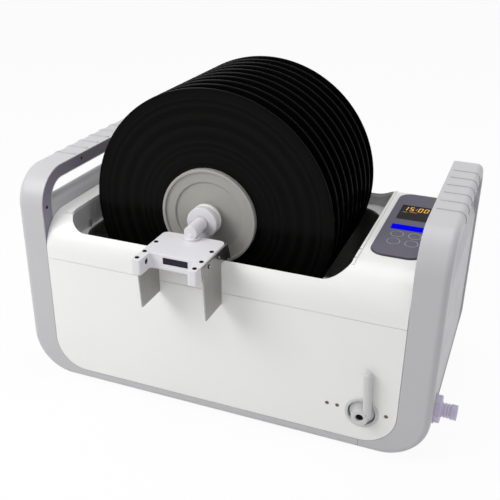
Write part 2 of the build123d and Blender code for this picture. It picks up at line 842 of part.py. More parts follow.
inlet_hole = rear_opening(inlet_x, inlet_z, inlet_body_width, inlet_body_height)
switch_hole = rear_opening(switch_x, switch_z, switch_body_width, switch_body_height)
rear_screw_places = [(side * rear_screw_x, z) for side in (-1, 1) for z in rear_screw_rows]
inlet_screw_places = [(inlet_x + side * inlet_screw_spread / 2, inlet_z) for side in (-1, 1)]
with BuildPart() as rear_panel:
    mirror(panel_blank.part, about=Plane.XZ)
    add(inlet_hole.part, mode=Mode.SUBTRACT)
    add(switch_hole.part, mode=Mode.SUBTRACT)
    with BuildSketch(Plane.XZ.offset(-half_depth - over)):
        with Locations((fan_x, fan_z)):
            with GridLocations(0, fan_slot_pitch, 1, fan_slot_rows):
                SlotOverall(fan_size - fan_slot_pitch, fan_slot_height)
        with Locations(rear_screw_places + inlet_screw_places):
            Circle(panel_fixing_shank + seat_gap)
    extrude(amount=wall + 2 * over, mode=Mode.SUBTRACT)
save(rear_panel, "rear_panel")

with BuildPart() as front_bottom_strip:
    with BuildSketch(Plane.YZ):
        with BuildLine():
            bend = CenterArc((-half_depth + frame_edge_radius, base_z + frame_edge_radius), frame_edge_radius,
                             180, 90)
            Polyline(bend @ 1, (-half_depth + strip_depth, base_z),
                     (-half_depth + strip_depth, panel_bottom_z), (-half_depth, panel_bottom_z), bend @ 0)
        make_face()
    extrude(amount=strip_half_length - seat_gap, both=True)
with BuildPart() as bottom_strips:
    add(front_bottom_strip.part)
    mirror(about=Plane.XZ)
save(bottom_strips, "bottom_strips")

foot_places = [(side * (half_length - foot_inset_x), row * (half_depth - foot_inset_y))
               for side in (-1, 1) for row in (-1, 1)]
base_half_depth = half_depth - strip_depth - seat_gap
base_plate = block((-strip_half_length + seat_gap, -base_half_depth, base_z),
                   (strip_half_length - seat_gap, base_half_depth, base_z + base_thickness))
save(base_plate, "base_plate")
with BuildPart() as feet:
    with Locations(foot_places):
        Cylinder(foot_radius, foot_height, align=standing)
        Hole(foot_hole_radius, depth=foot_height)
    lower_faces = feet.faces().group_by(Axis.Z)[0]
    chamfer(lower_faces.edges().filter_by(lambda edge: edge.radius > foot_hole_radius), length=seam)
save(feet, "feet")

fixings = [screw((x, half_depth, z), (0, 1, 0), panel_fixing_radius, panel_fixing_head,
                 panel_fixing_shank, panel_fixing_length) for x, z in rear_screw_places]
fixings += [screw((x, half_depth + inlet_flange_thickness, z), (0, 1, 0), panel_fixing_radius,
                  panel_fixing_head, panel_fixing_shank, panel_fixing_length) for x, z in inlet_screw_places]
panel_screw_y = -half_depth + panel_screw_sink + panel_screw_head
fixings += [screw((x, panel_screw_y, z), (0, -1, 0), panel_screw_radius, panel_screw_head,
                  small_screw_radius, small_screw_length) for x, z in panel_screw_places]
with BuildPart() as casing_screws:
    add([piece.part for piece in fixings])
save(casing_screws, "casing_screws")

# ---------------------------------------------------------------- control panel
control_right = cover_half_length - over
bezel_top_z = cover_z + bezel_thickness
overlay_z = bezel_top_z + overlay_thickness
display_low = (display_left, display_front_y)
display_high = (display_right, display_rear_y)
bezel_slab = rounded_slab((control_left, control_front_y, cover_z),
                          (control_right, control_rear_y, bezel_top_z), control_corner)
bezel_window = block((display_left + bezel_border, display_front_y + bezel_border, cover_z),
                     (display_right - bezel_border, display_rear_y - bezel_border, overlay_z))
with BuildPart() as control_panel_bezel:
    add(bezel_slab.part)
    add(bezel_window.part, mode=Mode.SUBTRACT)
save(control_panel_bezel, "control_panel_bezel")

overlay_slab = rounded_slab((control_left + bezel_border, control_front_y + bezel_border, bezel_top_z),
                            (control_right - bezel_border, control_rear_y - bezel_border, overlay_z),
                            control_corner - bezel_border)
overlay_window = block((*display_low, bezel_top_z), (*display_high, handle_top_z))
label_pocket = block((display_left, label_front_y, overlay_z - label_rise),
                     (display_right, label_rear_y, handle_top_z))
with BuildPart() as control_panel:
    add(overlay_slab.part)
    add(overlay_window.part, mode=Mode.SUBTRACT)
    add(label_pocket.part, mode=Mode.SUBTRACT)
    with BuildSketch(Plane.XY.offset(overlay_z)):
        with Locations([(x, y) for x in key_columns for y in key_rows]):
            Ellipse(key_radius_x, key_radius_y)
            Ellipse(key_radius_x - key_line, key_radius_y - key_line, mode=Mode.SUBTRACT)
    extrude(amount=key_rise)
save(control_panel, "control_panel")
display_lens = block((display_left + seat_gap, display_front_y + seat_gap, bezel_top_z),
                     (display_right - seat_gap, display_rear_y - seat_gap, overlay_z - display_lens_sink))
save(display_lens, "display_lens")
label_bar = block((display_left, label_front_y, overlay_z - label_rise),
                  (display_right, label_rear_y, overlay_z + label_rise))
save(label_bar, "label_bar")

board_top_z = cover_z - wall - control_board_drop
module_inset = bezel_border + seat_gap
module_low = (display_left + module_inset, display_front_y + module_inset, board_top_z)
module_high = (display_right - module_inset, display_rear_y - module_inset, bezel_top_z)
board_front_y = control_front_y + control_corner
board_rear_y = control_rear_y - control_corner
control_slab = block((display_left - control_board_border, board_front_y, board_top_z - board_thickness),
                     (display_right + control_board_border, board_rear_y, board_top_z))
display_module = block(module_low, module_high)
with BuildPart() as control_board:
    add(control_slab.part)
    add(display_module.part)
    with BuildSketch(Plane.XY.offset(board_top_z)):
        with Locations([(x, y) for x in (display_left, display_right)
                        for y in (board_front_y + board_post_inset, board_rear_y - board_post_inset)]):
            Circle(board_post_radius)
    extrude(amount=control_board_drop)
    with BuildSketch(Plane.XY.offset(board_top_z)):
        with Locations([(x, y) for x in key_columns for y in key_rows]):
            Rectangle(key_sensor_size, key_sensor_size)
    extrude(amount=key_sensor_height)
save(control_board, "control_board")

# ---------------------------------------------------------------- power supply
generator_z = base_z + base_thickness + board_post_height
generator_top_z = generator_z + board_thickness
generator_low = (generator_x - generator_width / 2, generator_middle_y - generator_length / 2)
generator_high = (generator_x + generator_width / 2, generator_middle_y + generator_length / 2)
generator_slab = block((*generator_low, generator_z), (*generator_high, generator_top_z))
with BuildPart() as generator_board:
    add(generator_slab.part)
    with BuildSketch(Plane.XY.offset(base_z + base_thickness)):
        with Locations((generator_x, generator_middle_y)):
            with GridLocations(generator_width - 2 * board_post_inset,
                               generator_length - 2 * board_post_inset, 2, 2):
                Circle(board_post_radius)
    extrude(amount=board_post_height)
    with Locations((generator_x, generator_low[1] + transformer_size, generator_top_z)):
        Box(transformer_size, transformer_size, transformer_size - transformer_yoke * 2, align=standing)
        Box(transformer_size - transformer_yoke, transformer_size - transformer_yoke * 2, transformer_size,
            align=standing)
    with Locations([(generator_x + side * capacitor_pitch / 2, generator_high[1] - capacitor_pitch,
                     generator_top_z) for side in (-1, 1)]):
        Cylinder(capacitor_radius, capacitor_height, align=standing)
    with Locations((generator_low[0] + capacitor_pitch, generator_middle_y + capacitor_pitch,
                    generator_top_z)):
        Box(relay_width, relay_length, relay_height, align=standing)
save(generator_board, "generator_board")
with BuildPart() as heat_sink:
    with Locations((generator_high[0] - sink_width / 2 - over, sink_middle_y, generator_top_z)):
        Box(sink_base, sink_length, sink_height, align=standing)
        with GridLocations(0, (sink_length - sink_base) / (sink_fins - 1), 1, sink_fins):
            Box(sink_width, sink_base, sink_height, align=standing)
save(heat_sink, "heat_sink")

# ---------------------------------------------------------------- drain line
valve_left_x = valve_x - valve_body_length / 2
valve_right_x = valve_x + valve_body_length / 2
tank_under_z = tank_floor_z - tank_sheet
with BuildPart() as drain_elbow:
    with BuildLine() as drain_path:
        FilletPolyline((drain_x, drain_y, tank_under_z), (drain_x, drain_y, valve_z),
                       (valve_left_x, drain_y, valve_z), radius=drain_bend)
    with BuildSketch(Plane.XY.offset(tank_under_z)):
        with Locations((drain_x, drain_y)):
            Circle(pipe_radius)
            Circle(pipe_bore_radius, mode=Mode.SUBTRACT)
    sweep(path=drain_path.wires()[0])
    with BuildSketch(Plane.XY.offset(tank_under_z)):
        with Locations((drain_x, drain_y)):
            Circle(drain_thread_radius)
            Circle(pipe_bore_radius, mode=Mode.SUBTRACT)
    extrude(amount=tank_sheet + drain_flange_thickness)
    with BuildSketch(Plane.XY.offset(tank_floor_z)):
        with Locations((drain_x, drain_y)):
            Circle(drain_flange_radius)
            Circle(pipe_bore_radius, mode=Mode.SUBTRACT)
    extrude(amount=drain_flange_thickness)
save(drain_elbow, "drain_elbow")

cup_floor_y = -half_depth + cup_depth
cup_back_y = cup_floor_y + cup_wall
valve_neck = rod((valve_x, drain_y, valve_z), (0, -1, 0), valve_neck_radius, drain_y - cup_back_y)
stem_bore = rod((valve_x, drain_y, valve_z), (0, -1, 0), stem_radius + running_gap, half_depth)
valve_barrel = rod((valve_left_x, drain_y, valve_z), (1, 0, 0), valve_body_radius, valve_body_length)
valve_bore = rod((valve_left_x, drain_y, valve_z), (1, 0, 0), pipe_bore_radius, valve_body_length)
with BuildPart() as valve_body:
    add(valve_barrel.part)
    add(valve_neck.part)
    add(valve_bore.part, mode=Mode.SUBTRACT)
    add(stem_bore.part, mode=Mode.SUBTRACT)
    with Locations((valve_x, drain_y, valve_z)):
        Sphere(valve_ball_radius + ball_gap, rotation=(0, 90, 0), mode=Mode.SUBTRACT)
save(valve_body, "valve_body")

lever_back_y = cup_floor_y - ball_gap
ball_bore = rod((valve_x, drain_y, valve_z - valve_body_radius), (0, 0, 1), pipe_bore_radius,
                2 * valve_body_radius)
stem_rod = rod((valve_x, drain_y, valve_z), (0, -1, 0), stem_radius,
               drain_y - lever_back_y + lever_disc_thickness)
with BuildPart() as valve_ball:
    with Locations((valve_x, drain_y, valve_z)):
        Sphere(valve_ball_radius)
    add(stem_rod.part)
    add(ball_bore.part, mode=Mode.SUBTRACT)
save(valve_ball, "valve_ball")

barb_collar_x = side_inner_x - barb_collar_thickness
barb_nut_x = side_wall_x + side_recess + barb_boss_rise
outlet_length = barb_collar_x - valve_right_x
outlet_pipe = turned(((pipe_bore_radius, 0), (pipe_radius, 0), (pipe_radius, outlet_length),
                      (pipe_bore_radius, outlet_length)), (valve_right_x, drain_y, valve_z), (1, 0, 0))
save(outlet_pipe, "outlet_pipe")
ridge_start = barb_nut_x + barb_nut_length - barb_collar_x
barb_end = ridge_start + barb_ridges * barb_ridge_pitch + barb_tip_length
barb_outline = [(pipe_bore_radius, 0), (barb_collar_radius, 0), (barb_collar_radius, barb_collar_thickness),
                (barb_thread_radius, barb_collar_thickness), (barb_thread_radius, ridge_start)]
for ridge in range(barb_ridges):
    barb_outline.append((barb_radius, ridge_start + ridge * barb_ridge_pitch))
    barb_outline.append((barb_root_radius, ridge_start + (ridge + 1) * barb_ridge_pitch))
barb_outline += [(barb_radius, ridge_start + barb_ridges * barb_ridge_pitch), (barb_radius, barb_end),
                 (pipe_bore_radius, barb_end)]
hose_barb = turned(barb_outline, (barb_collar_x, drain_y, valve_z), (1, 0, 0))
save(hose_barb, "hose_barb")
with BuildPart() as barb_nut:
    with BuildSketch(Plane.YZ.offset(barb_nut_x)):
        with Locations((drain_y, valve_z)):
            RegularPolygon(barb_nut_radius, 6)
            Circle(barb_thread_radius + running_gap, mode=Mode.SUBTRACT)
    extrude(amount=barb_nut_length)
    chamfer(barb_nut.faces().sort_by(Axis.X)[-1].outer_wire().edges(), length=over)
save(barb_nut, "barb_nut")

stem_clear_radius = stem_radius + running_gap
cup_inner_radius = cup_radius - cup_wall
cup_outline = ((stem_clear_radius, -cup_depth - cup_wall), (cup_radius, -cup_depth - cup_wall), (cup_radius, 0),
               (escutcheon_radius, 0), (escutcheon_radius, escutcheon_thickness / 2),
               (escutcheon_radius - escutcheon_thickness / 2, escutcheon_thickness),
               (cup_inner_radius, escutcheon_thickness), (cup_inner_radius, -cup_depth),
               (stem_clear_radius, -cup_depth))
valve_escutcheon = turned(cup_outline, (valve_x, -half_depth, valve_z), (0, -1, 0))
save(valve_escutcheon, "valve_escutcheon")

lever_front_y = -half_depth - lever_hub_reach
lever_disc = rod((valve_x, lever_back_y, valve_z), (0, -1, 0), lever_disc_radius, lever_disc_thickness)
lever_hub = rod((valve_x, lever_back_y, valve_z), (0, -1, 0), lever_hub_radius, lever_back_y - lever_front_y)
stem_socket = rod((valve_x, lever_back_y, valve_z), (0, -1, 0), stem_clear_radius, lever_disc_thickness)
screw_recess = rod((valve_x, lever_front_y + lever_recess_depth, valve_z), (0, -1, 0), lever_recess_radius,
                   lever_recess_depth)
screw_bore = rod((valve_x, lever_back_y, valve_z), (0, -1, 0), small_screw_radius + running_gap,
                 lever_back_y - lever_front_y)
with BuildPart() as valve_lever:
    add(lever_hub.part)
    with BuildSketch(Plane.XZ.offset(-lever_front_y - lever_arm_depth)):
        with Locations((valve_x + lever_arm_offset, valve_z + lever_arm_length / 2)):
            RectangleRounded(lever_arm_width, lever_arm_length, lever_arm_width / 2 - running_gap)
    extrude(amount=lever_arm_depth)
    fillet(valve_lever.faces().sort_by(Axis.Y)[0].outer_wire().edges(), radius=lever_edge)
    add(lever_disc.part)
    add(stem_socket.part, mode=Mode.SUBTRACT)
    add(screw_recess.part, mode=Mode.SUBTRACT)
    add(screw_bore.part, mode=Mode.SUBTRACT)
save(valve_lever, "valve_lever")
lever_screw = screw((valve_x, lever_front_y + lever_recess_depth, valve_z), (0, -1, 0), lever_screw_radius,
                    small_screw_head_height * 2, small_screw_radius, small_screw_length)
save(lever_screw, "lever_screw")

# ---------------------------------------------------------------- fan, inlet and switch
fan_front_y = inner_half_depth - fan_depth
with BuildPart() as fan_frame:
    with BuildSketch(Plane.XZ.offset(-inner_half_depth)):
        with Locations((fan_x, fan_z)):
            RectangleRounded(fan_size, fan_size, fan_strut_width)
            Circle(fan_bore_radius, mode=Mode.SUBTRACT)
    extrude(amount=fan_depth)
    with BuildSketch(Plane.XZ.offset(-fan_front_y)):
        with Locations((fan_x, fan_z)):
            Rectangle(fan_strut_width, fan_size)
            Rectangle(fan_size, fan_strut_width)
            Circle(fan_hub_radius)
            Circle(fan_axle_radius + running_gap, mode=Mode.SUBTRACT)
    extrude(amount=-fan_strut_depth)
save(fan_frame, "fan_frame")

fan_hub_y = fan_front_y + fan_strut_depth + ball_gap
fan_hub_length = inner_half_depth - ball_gap - fan_hub_y
with BuildPart(Plane(origin=(fan_x, fan_hub_y, fan_z), x_dir=(1, 0, 0), z_dir=(0, 1, 0))) as fan_rotor:
    Cylinder(fan_hub_radius, fan_hub_length, align=standing)
    with PolarLocations((fan_hub_radius + fan_bore_radius - fan_blade_tip_gap - fan_hub_wall) / 2, fan_blades):
        with Locations((0, 0, fan_hub_length / 2)):
            Box(fan_bore_radius - fan_blade_tip_gap - fan_hub_radius + fan_hub_wall, fan_blade_length,
                fan_blade_thickness, rotation=(fan_blade_pitch, 0, 0))
    fillet(fan_rotor.faces().sort_by(Axis.Y)[-1].outer_wire().edges(), radius=fan_hub_wall)
    with Locations((0, 0, fan_front_y - fan_hub_y)):
        Cylinder(fan_axle_radius, fan_depth / 2, align=standing)
save(fan_rotor, "fan_rotor")

inlet_outer_y = half_depth + inlet_flange_thickness
with BuildPart() as power_inlet:
    with BuildSketch(Plane.XZ.offset(-half_depth)):
        with Locations((inlet_x, inlet_z)):
            RectangleRounded(inlet_flange_width, inlet_flange_height, inlet_flange_thickness)
        with Locations(inlet_screw_places):
            Circle(panel_fixing_shank + seat_gap, mode=Mode.SUBTRACT)
    extrude(amount=-inlet_flange_thickness)
    with BuildSketch(Plane.XZ.offset(-half_depth)):
        with Locations((inlet_x, inlet_z)):
            Rectangle(inlet_body_width, inlet_body_height)
    extrude(amount=inlet_body_depth)
    with BuildSketch(Plane.XZ.offset(-inlet_outer_y)):
        with Locations((inlet_x, inlet_z)):
            RectangleRounded(inlet_recess_width, inlet_recess_height, inlet_pin_width)
    extrude(amount=inlet_recess_depth, mode=Mode.SUBTRACT)
    with BuildSketch(Plane.XZ.offset(-inlet_outer_y + inlet_recess_depth)):
        with Locations([(inlet_x + side * inlet_pin_spread, inlet_z - inlet_pin_rise) for side in (-1, 1)]
                       + [(inlet_x, inlet_z + inlet_pin_rise)]):
            Rectangle(inlet_pin_width, inlet_pin_height)
    extrude(amount=-inlet_pin_length)
save(power_inlet, "power_inlet")

switch_outer_y = half_depth + switch_flange_thickness
rocker_space_width = switch_body_width - 2 * switch_border
rocker_space_height = switch_body_height - 2 * switch_border
rocker_width = rocker_space_width - 2 * rocker_gap
rocker_radius = rocker_space_height / 2 - rocker_gap
rocker_pivot_y = switch_outer_y - rocker_sink
rocker_pin_length = rocker_width + 2 * (rocker_gap + rocker_pin_reach)
with BuildPart() as switch_bezel:
    with BuildSketch(Plane.XZ.offset(-half_depth)):
        with Locations((switch_x, switch_z)):
            RectangleRounded(switch_width, switch_height, switch_border)
    extrude(amount=-switch_flange_thickness)
    with BuildSketch(Plane.XZ.offset(-half_depth)):
        with Locations((switch_x, switch_z)):
            Rectangle(switch_body_width, switch_body_height)
    extrude(amount=switch_depth)
    with BuildSketch(Plane.XZ.offset(-switch_outer_y)):
        with Locations((switch_x, switch_z)):
            Rectangle(rocker_space_width, rocker_space_height)
    extrude(amount=rocker_sink + rocker_radius + rocker_gap, mode=Mode.SUBTRACT)
    with Locations((switch_x, rocker_pivot_y, switch_z)):
        Cylinder(rocker_pin_radius + running_gap, rocker_pin_length + running_gap, rotation=(0, 90, 0),
                 mode=Mode.SUBTRACT)
save(switch_bezel, "switch_bezel")
rocker_axis = Axis((switch_x, rocker_pivot_y, switch_z), (1, 0, 0))
with BuildPart() as rocker_blank:
    with Locations((switch_x, rocker_pivot_y, switch_z)):
        Cylinder(rocker_radius, rocker_width, rotation=(0, 90, 0))
        Cylinder(rocker_pin_radius, rocker_pin_length, rotation=(0, 90, 0))
    with Locations((switch_x, rocker_pivot_y + rocker_flat, switch_z)):
        Box(rocker_pin_length, rocker_radius, 2 * rocker_radius, align=(Align.CENTER, Align.MIN, Align.CENTER),
            mode=Mode.SUBTRACT)
with BuildPart() as switch_rocker:
    add(rocker_blank.part.rotate(rocker_axis, -rocker_tilt))
save(switch_rocker, "switch_rocker")

# ---------------------------------------------------------------- drive unit
drive_low_x = spindle_x - drive_half_width
drive_high_x = spindle_x + drive_half_width
drive_top_z = cover_z + drive_lift
drive_bottom_z = drive_top_z - drive_height + drive_base_thickness
drive_base_z = drive_bottom_z - drive_base_thickness
lid_under_z = drive_top_z - drive_wall
arm_inner = drive_half_width - drive_arm_width


def drive_outline(inset):
    """Draw the drive unit's plan, an inset inside its skin, into the open line."""
    side = drive_half_width - inset
    recess = arm_inner + inset
    points = ((spindle_x - side, drive_rear_y - inset), (spindle_x + side, drive_rear_y - inset),
              (spindle_x + side, drive_front_y + inset), (spindle_x + recess, drive_front_y + inset),
              (spindle_x + recess, drive_face_y + inset), (spindle_x - recess, drive_face_y + inset),
              (spindle_x - recess, drive_front_y + inset), (spindle_x - side, drive_front_y + inset))
    corner = drive_corner - inset
    tip = drive_tip_corner - inset / 2
    bend = drive_bend + inset
    FilletPolyline(*points, radius=(corner, corner, tip, tip, bend, bend, tip, tip), close=True)


lid_screw_places = [(spindle_x + side * (drive_half_width - lid_screw_inset), y)
                    for side in (-1, 1) for y in lid_screw_rows]
hook_screw_z = drive_top_z - hook_screw_drop
jack_face_x = spindle_x - arm_inner
shaft_passage = rod((spindle_x, elbow_y, drive_base_z), (0, 0, 1), shaft_bore_radius, drive_height + over)
hook_screw_bore = [rod((drive_low_x - over, y, hook_screw_z), (1, 0, 0), small_screw_radius + running_gap,
                       2 * drive_half_width + 2 * over) for y in hook_screw_rows]
jack_hole = rod((jack_face_x + over, jack_y, jack_z), (-1, 0, 0), jack_radius + seat_gap, drive_wall + 2 * over)
window_left_x = spindle_x + drive_window_shift - drive_window_width / 2
window_right_x = window_left_x + drive_window_width
window_high_z = drive_window_z + drive_window_height
window_hole = block((window_left_x, drive_face_y - over, drive_window_z),
                    (window_right_x, drive_face_y + drive_wall + over, window_high_z))
with BuildPart() as drive_housing:
    with BuildSketch(Plane.XY.offset(drive_bottom_z)):
        with BuildLine():
            drive_outline(0)
        make_face()
    extrude(amount=drive_top_z - drive_bottom_z)
    fillet(drive_housing.faces().sort_by(Axis.Z)[-1].outer_wire().edges(), radius=drive_edge)
    with BuildSketch(Plane.XY.offset(drive_bottom_z)):
        with BuildLine():
            drive_outline(drive_wall)
        make_face()
    extrude(amount=lid_under_z - drive_bottom_z, mode=Mode.SUBTRACT)
    with BuildSketch(Plane.XY.offset(drive_bottom_z)):
        with Locations(lid_screw_places):
            Circle(drive_boss_radius)
    extrude(amount=drive_top_z - drive_bottom_z - drive_edge)
    with BuildSketch(Plane.XY.offset(drive_bottom_z)):
        with Locations(lid_screw_places):
            Circle(small_screw_radius + running_gap)
    extrude(amount=drive_height, mode=Mode.SUBTRACT)
    add(shaft_passage.part, mode=Mode.SUBTRACT)
    add([bore.part for bore in hook_screw_bore], mode=Mode.SUBTRACT)
    add(jack_hole.part, mode=Mode.SUBTRACT)
    add(window_hole.part, mode=Mode.SUBTRACT)
save(drive_housing, "drive_housing")

drive_display = block((window_left_x + seat_gap, drive_face_y + seam, drive_window_z + seat_gap),
                      (window_right_x - seat_gap, drive_face_y + drive_wall + drive_display_depth,
                       window_high_z - seat_gap))
save(drive_display, "drive_display")

shaft_foot_z = drive_bottom_z + seam
with BuildPart() as drive_base:
    with BuildSketch(Plane.XY.offset(drive_base_z)):
        with BuildLine():
            drive_outline(0)
        make_face()
    extrude(amount=drive_base_thickness)
    with BuildSketch(Plane.XY.offset(drive_bottom_z)):
        with Locations((spindle_x, elbow_y)):
            Circle(2 * drive_shaft_radius)
    extrude(amount=shaft_boss_height)
    with BuildSketch(Plane.XY.offset(shaft_foot_z)):
        with Locations((spindle_x, elbow_y)):
            Circle(drive_shaft_radius + running_gap)
    extrude(amount=drive_height, mode=Mode.SUBTRACT)
    with BuildSketch(Plane.XY.offset(drive_bottom_z)):
        with Locations((spindle_x, motor_face_y - motor_length / 2)):
            Rectangle(motor_width, motor_length)
    extrude(amount=motor_z - motor_height / 2 - drive_bottom_z)
save(drive_base, "drive_base")

hook_side_x = (drive_low_x - hook_thickness, drive_high_x)
hook_top_z = drive_top_z - hook_top_inset
hook_low_z = drive_base_z - hook_bottom_drop
hook_inner_z = drive_base_z - hook_inner_drop
hook_plates = []
for side_x in hook_side_x:
    with BuildPart() as hook_plate:
        with BuildSketch(Plane.YZ.offset(side_x)):
            with BuildLine():
                Polyline((hook_front_y, hook_top_z), (hook_toe_y, hook_low_z), (hook_slot_front_y, hook_low_z),
                         (hook_slot_front_y, hook_slot_top_z), (hook_slot_rear_y, hook_slot_top_z),
                         (hook_slot_rear_y, hook_inner_z), (hook_notch_y, hook_inner_z + hook_notch),
                         (hook_inner_rear_y, hook_inner_z), (drive_rear_y, hook_top_z), close=True)
            make_face()
            with Locations([(y, hook_screw_z) for y in hook_screw_rows]):
                Circle(small_screw_radius + running_gap, mode=Mode.SUBTRACT)
        extrude(amount=hook_thickness)
    hook_plates.append(hook_plate)
save(hook_plates[0], "left_hook_plate")
save(hook_plates[1], "right_hook_plate")

drive_screw_list = [screw((x, y, drive_top_z), (0, 0, 1), small_screw_head_radius, small_screw_head_height,
                          small_screw_radius, small_screw_length) for x, y in lid_screw_places]
for side, side_x in ((-1, drive_low_x - hook_thickness), (1, drive_high_x + hook_thickness)):
    drive_screw_list += [screw((side_x, y, hook_screw_z), (side, 0, 0), small_screw_head_radius,
                               small_screw_head_height, small_screw_radius, small_screw_length)
                         for y in hook_screw_rows]
with BuildPart() as drive_screws:
    add([piece.part for piece in drive_screw_list])
save(drive_screws, "drive_screws")

# the elbow: a foot on the lid and a level tube with a closed front
elbow_front_y = elbow_y - elbow_front_reach
elbow_foot = rod((spindle_x, elbow_y, drive_top_z), (0, 0, 1), elbow_foot_radius, elbow_foot_height)
elbow_neck = rod((spindle_x, elbow_y, drive_top_z), (0, 0, 1), elbow_neck_radius, spindle_z - drive_top_z)
elbow_tube = rod((spindle_x, elbow_front_y, spindle_z), (0, 1, 0), elbow_radius, elbow_rear_y - elbow_front_y)
elbow_bore = rod((spindle_x, elbow_front_y + elbow_front_wall, spindle_z), (0, 1, 0), elbow_bore_radius,
                 elbow_rear_y - elbow_front_y)
elbow_shaft_bore = rod((spindle_x, elbow_y, drive_top_z), (0, 0, 1), shaft_bore_radius,
                       spindle_z - drive_top_z)
with BuildPart() as elbow_housing:
    add(elbow_tube.part)
    fillet(elbow_housing.faces().sort_by(Axis.Y)[0].edges(), radius=over / 2)
    add(elbow_neck.part)
    add(elbow_foot.part)
    add(elbow_bore.part, mode=Mode.SUBTRACT)
    add(elbow_shaft_bore.part, mode=Mode.SUBTRACT)
save(elbow_housing, "elbow_housing")


def bush(origin, direction, outer, inner):
    """A plain bearing bush."""
    return turned(((inner, 0), (outer, 0), (outer, bush_length), (inner, bush_length)), origin, direction)


bevel_reach = bevel_face / sqrt(2)
upper_bush_z = spindle_z - bevel_pitch_radius - bevel_hub_length - seam - bush_length
bush_list = [bush((spindle_x, elbow_rear_y - bush_length, spindle_z), (0, 1, 0), elbow_bore_radius - bush_fit,
                  spindle_radius + bush_clearance),
             bush((spindle_x, elbow_y + bevel_pitch_radius + bevel_hub_length + seam, spindle_z), (0, 1, 0),
                  elbow_bore_radius - bush_fit, spindle_radius + bush_clearance),
             bush((spindle_x, elbow_y, upper_bush_z), (0, 0, 1), shaft_bore_radius - bush_fit,
                  drive_shaft_radius + bush_clearance)]
with BuildPart() as spindle_bushes:
    add([piece.part for piece in bush_list])
save(spindle_bushes, "spindle_bushes")


def bevel_gear(apex, direction, first_tooth):
    """A mitre gear whose pitch cone has its tip at the apex, with its hub away from the tip.

    The direction points from the apex to the gear, and first_tooth is the middle of one tooth in
    degrees from the local x of the plane that looks that way.
    """
    stand = looking(apex, direction)
    slope = 1 / sqrt(2)
    tip_radius = bevel_pitch_radius + bevel_addendum * slope
    root_radius = bevel_pitch_radius - bevel_dedendum * slope
    near = 1 - bevel_reach / bevel_pitch_radius
    pitch_angle = 360 / bevel_teeth
    half_tooth = pitch_angle * bevel_tooth_share / 2
    outline = []
    for tooth in range(bevel_teeth):
        middle = first_tooth + tooth * pitch_angle
        for radius, turn in ((root_radius, -half_tooth * bevel_flare), (tip_radius, -half_tooth / bevel_flare),
                             (tip_radius, half_tooth / bevel_flare), (root_radius, half_tooth * bevel_flare)):
            angle = radians(middle + turn)
            outline.append((radius * cos(angle), radius * sin(angle)))
    with BuildPart() as gear:
        for share in (1, near):
            with BuildSketch(stand.offset(bevel_pitch_radius * share)):
                with BuildLine():
                    Polyline(*[(x * share, y * share) for x, y in outline], close=True)
                make_face()
        loft(ruled=True)
        with BuildSketch(stand.offset(bevel_pitch_radius)):
            Circle(bevel_hub_radius)
        extrude(amount=bevel_hub_length)
    return gear


# each pair of gears meets on the line halfway between their axes: a tooth of one in a gap of the other
half_pitch = 180 / bevel_teeth
spindle_apex = (spindle_x, elbow_y, spindle_z)
motor_apex = (spindle_x, elbow_y, motor_z)
spindle_gear = bevel_gear(spindle_apex, (0, 1, 0), 0)
upper_gear = bevel_gear(spindle_apex, (0, 0, -1), half_pitch)
lower_gear = bevel_gear(motor_apex, (0, 0, -1), half_pitch)
pinion_gear = bevel_gear(motor_apex, (0, -1, 0), 0)

gear_motor_case = block((spindle_x - motor_width / 2, motor_face_y - motor_length, motor_z - motor_height / 2),
                        (spindle_x + motor_width / 2, motor_face_y, motor_z + motor_height / 2))
motor_bore = rod((spindle_x, motor_face_y, motor_z), (0, -1, 0), motor_shaft_radius + running_gap,
                 motor_shaft_length + ball_gap)
with BuildPart() as gear_motor:
    add(gear_motor_case.part)
    chamfer(gear_motor.edges().filter_by(Axis.Y), length=over)
    add(motor_bore.part, mode=Mode.SUBTRACT)
save(gear_motor, "gear_motor")
pinion_back_y = elbow_y - bevel_pitch_radius - bevel_hub_length
pinion_stub = rod((spindle_x, pinion_back_y, motor_z), (0, -1, 0), motor_shaft_radius,
                  pinion_back_y - motor_face_y + motor_shaft_length)
with BuildPart() as motor_pinion:
    add(pinion_gear.part)
    add(pinion_stub.part)
save(motor_pinion, "motor_pinion")
upright = rod((spindle_x, elbow_y, shaft_foot_z), (0, 0, 1), drive_shaft_radius,
              spindle_z - bevel_pitch_radius + bevel_reach - shaft_foot_z)
with BuildPart() as drive_shaft:
    add(upright.part)
    add(upper_gear.part)
    add(lower_gear.part)
save(drive_shaft, "drive_shaft")

jack_inner_x = jack_face_x - drive_arm_width + drive_wall + seam
dc_jack = turned(((0, 0), (jack_radius, 0), (jack_radius, jack_length), (jack_bore_radius, jack_length),
                  (jack_bore_radius, jack_wall), (0, jack_wall)), (jack_inner_x, jack_y, jack_z), (1, 0, 0))
save(dc_jack, "dc_jack")

# ---------------------------------------------------------------- spindle and records
hub_front_y = elbow_rear_y + hub_gap
hub_rear_y = hub_front_y + hub_length + hub_groove_length
last_record_y = first_record_y + (record_count - 1) * record_pitch
front_flange_y = first_record_y - record_thickness / 2 - flange_thickness
rear_flange_y = last_record_y + record_thickness / 2
rear_nut_y = rear_flange_y + flange_thickness
spindle_start_y = elbow_y + bevel_pitch_radius
spindle_bore = spindle_radius + seat_gap / 4


def on_spindle(outline, start_y):
    """Turn an outline of (radius, length) points about the spindle from a place on it."""
    return turned(outline, (spindle_x, start_y, spindle_z), (0, 1, 0))


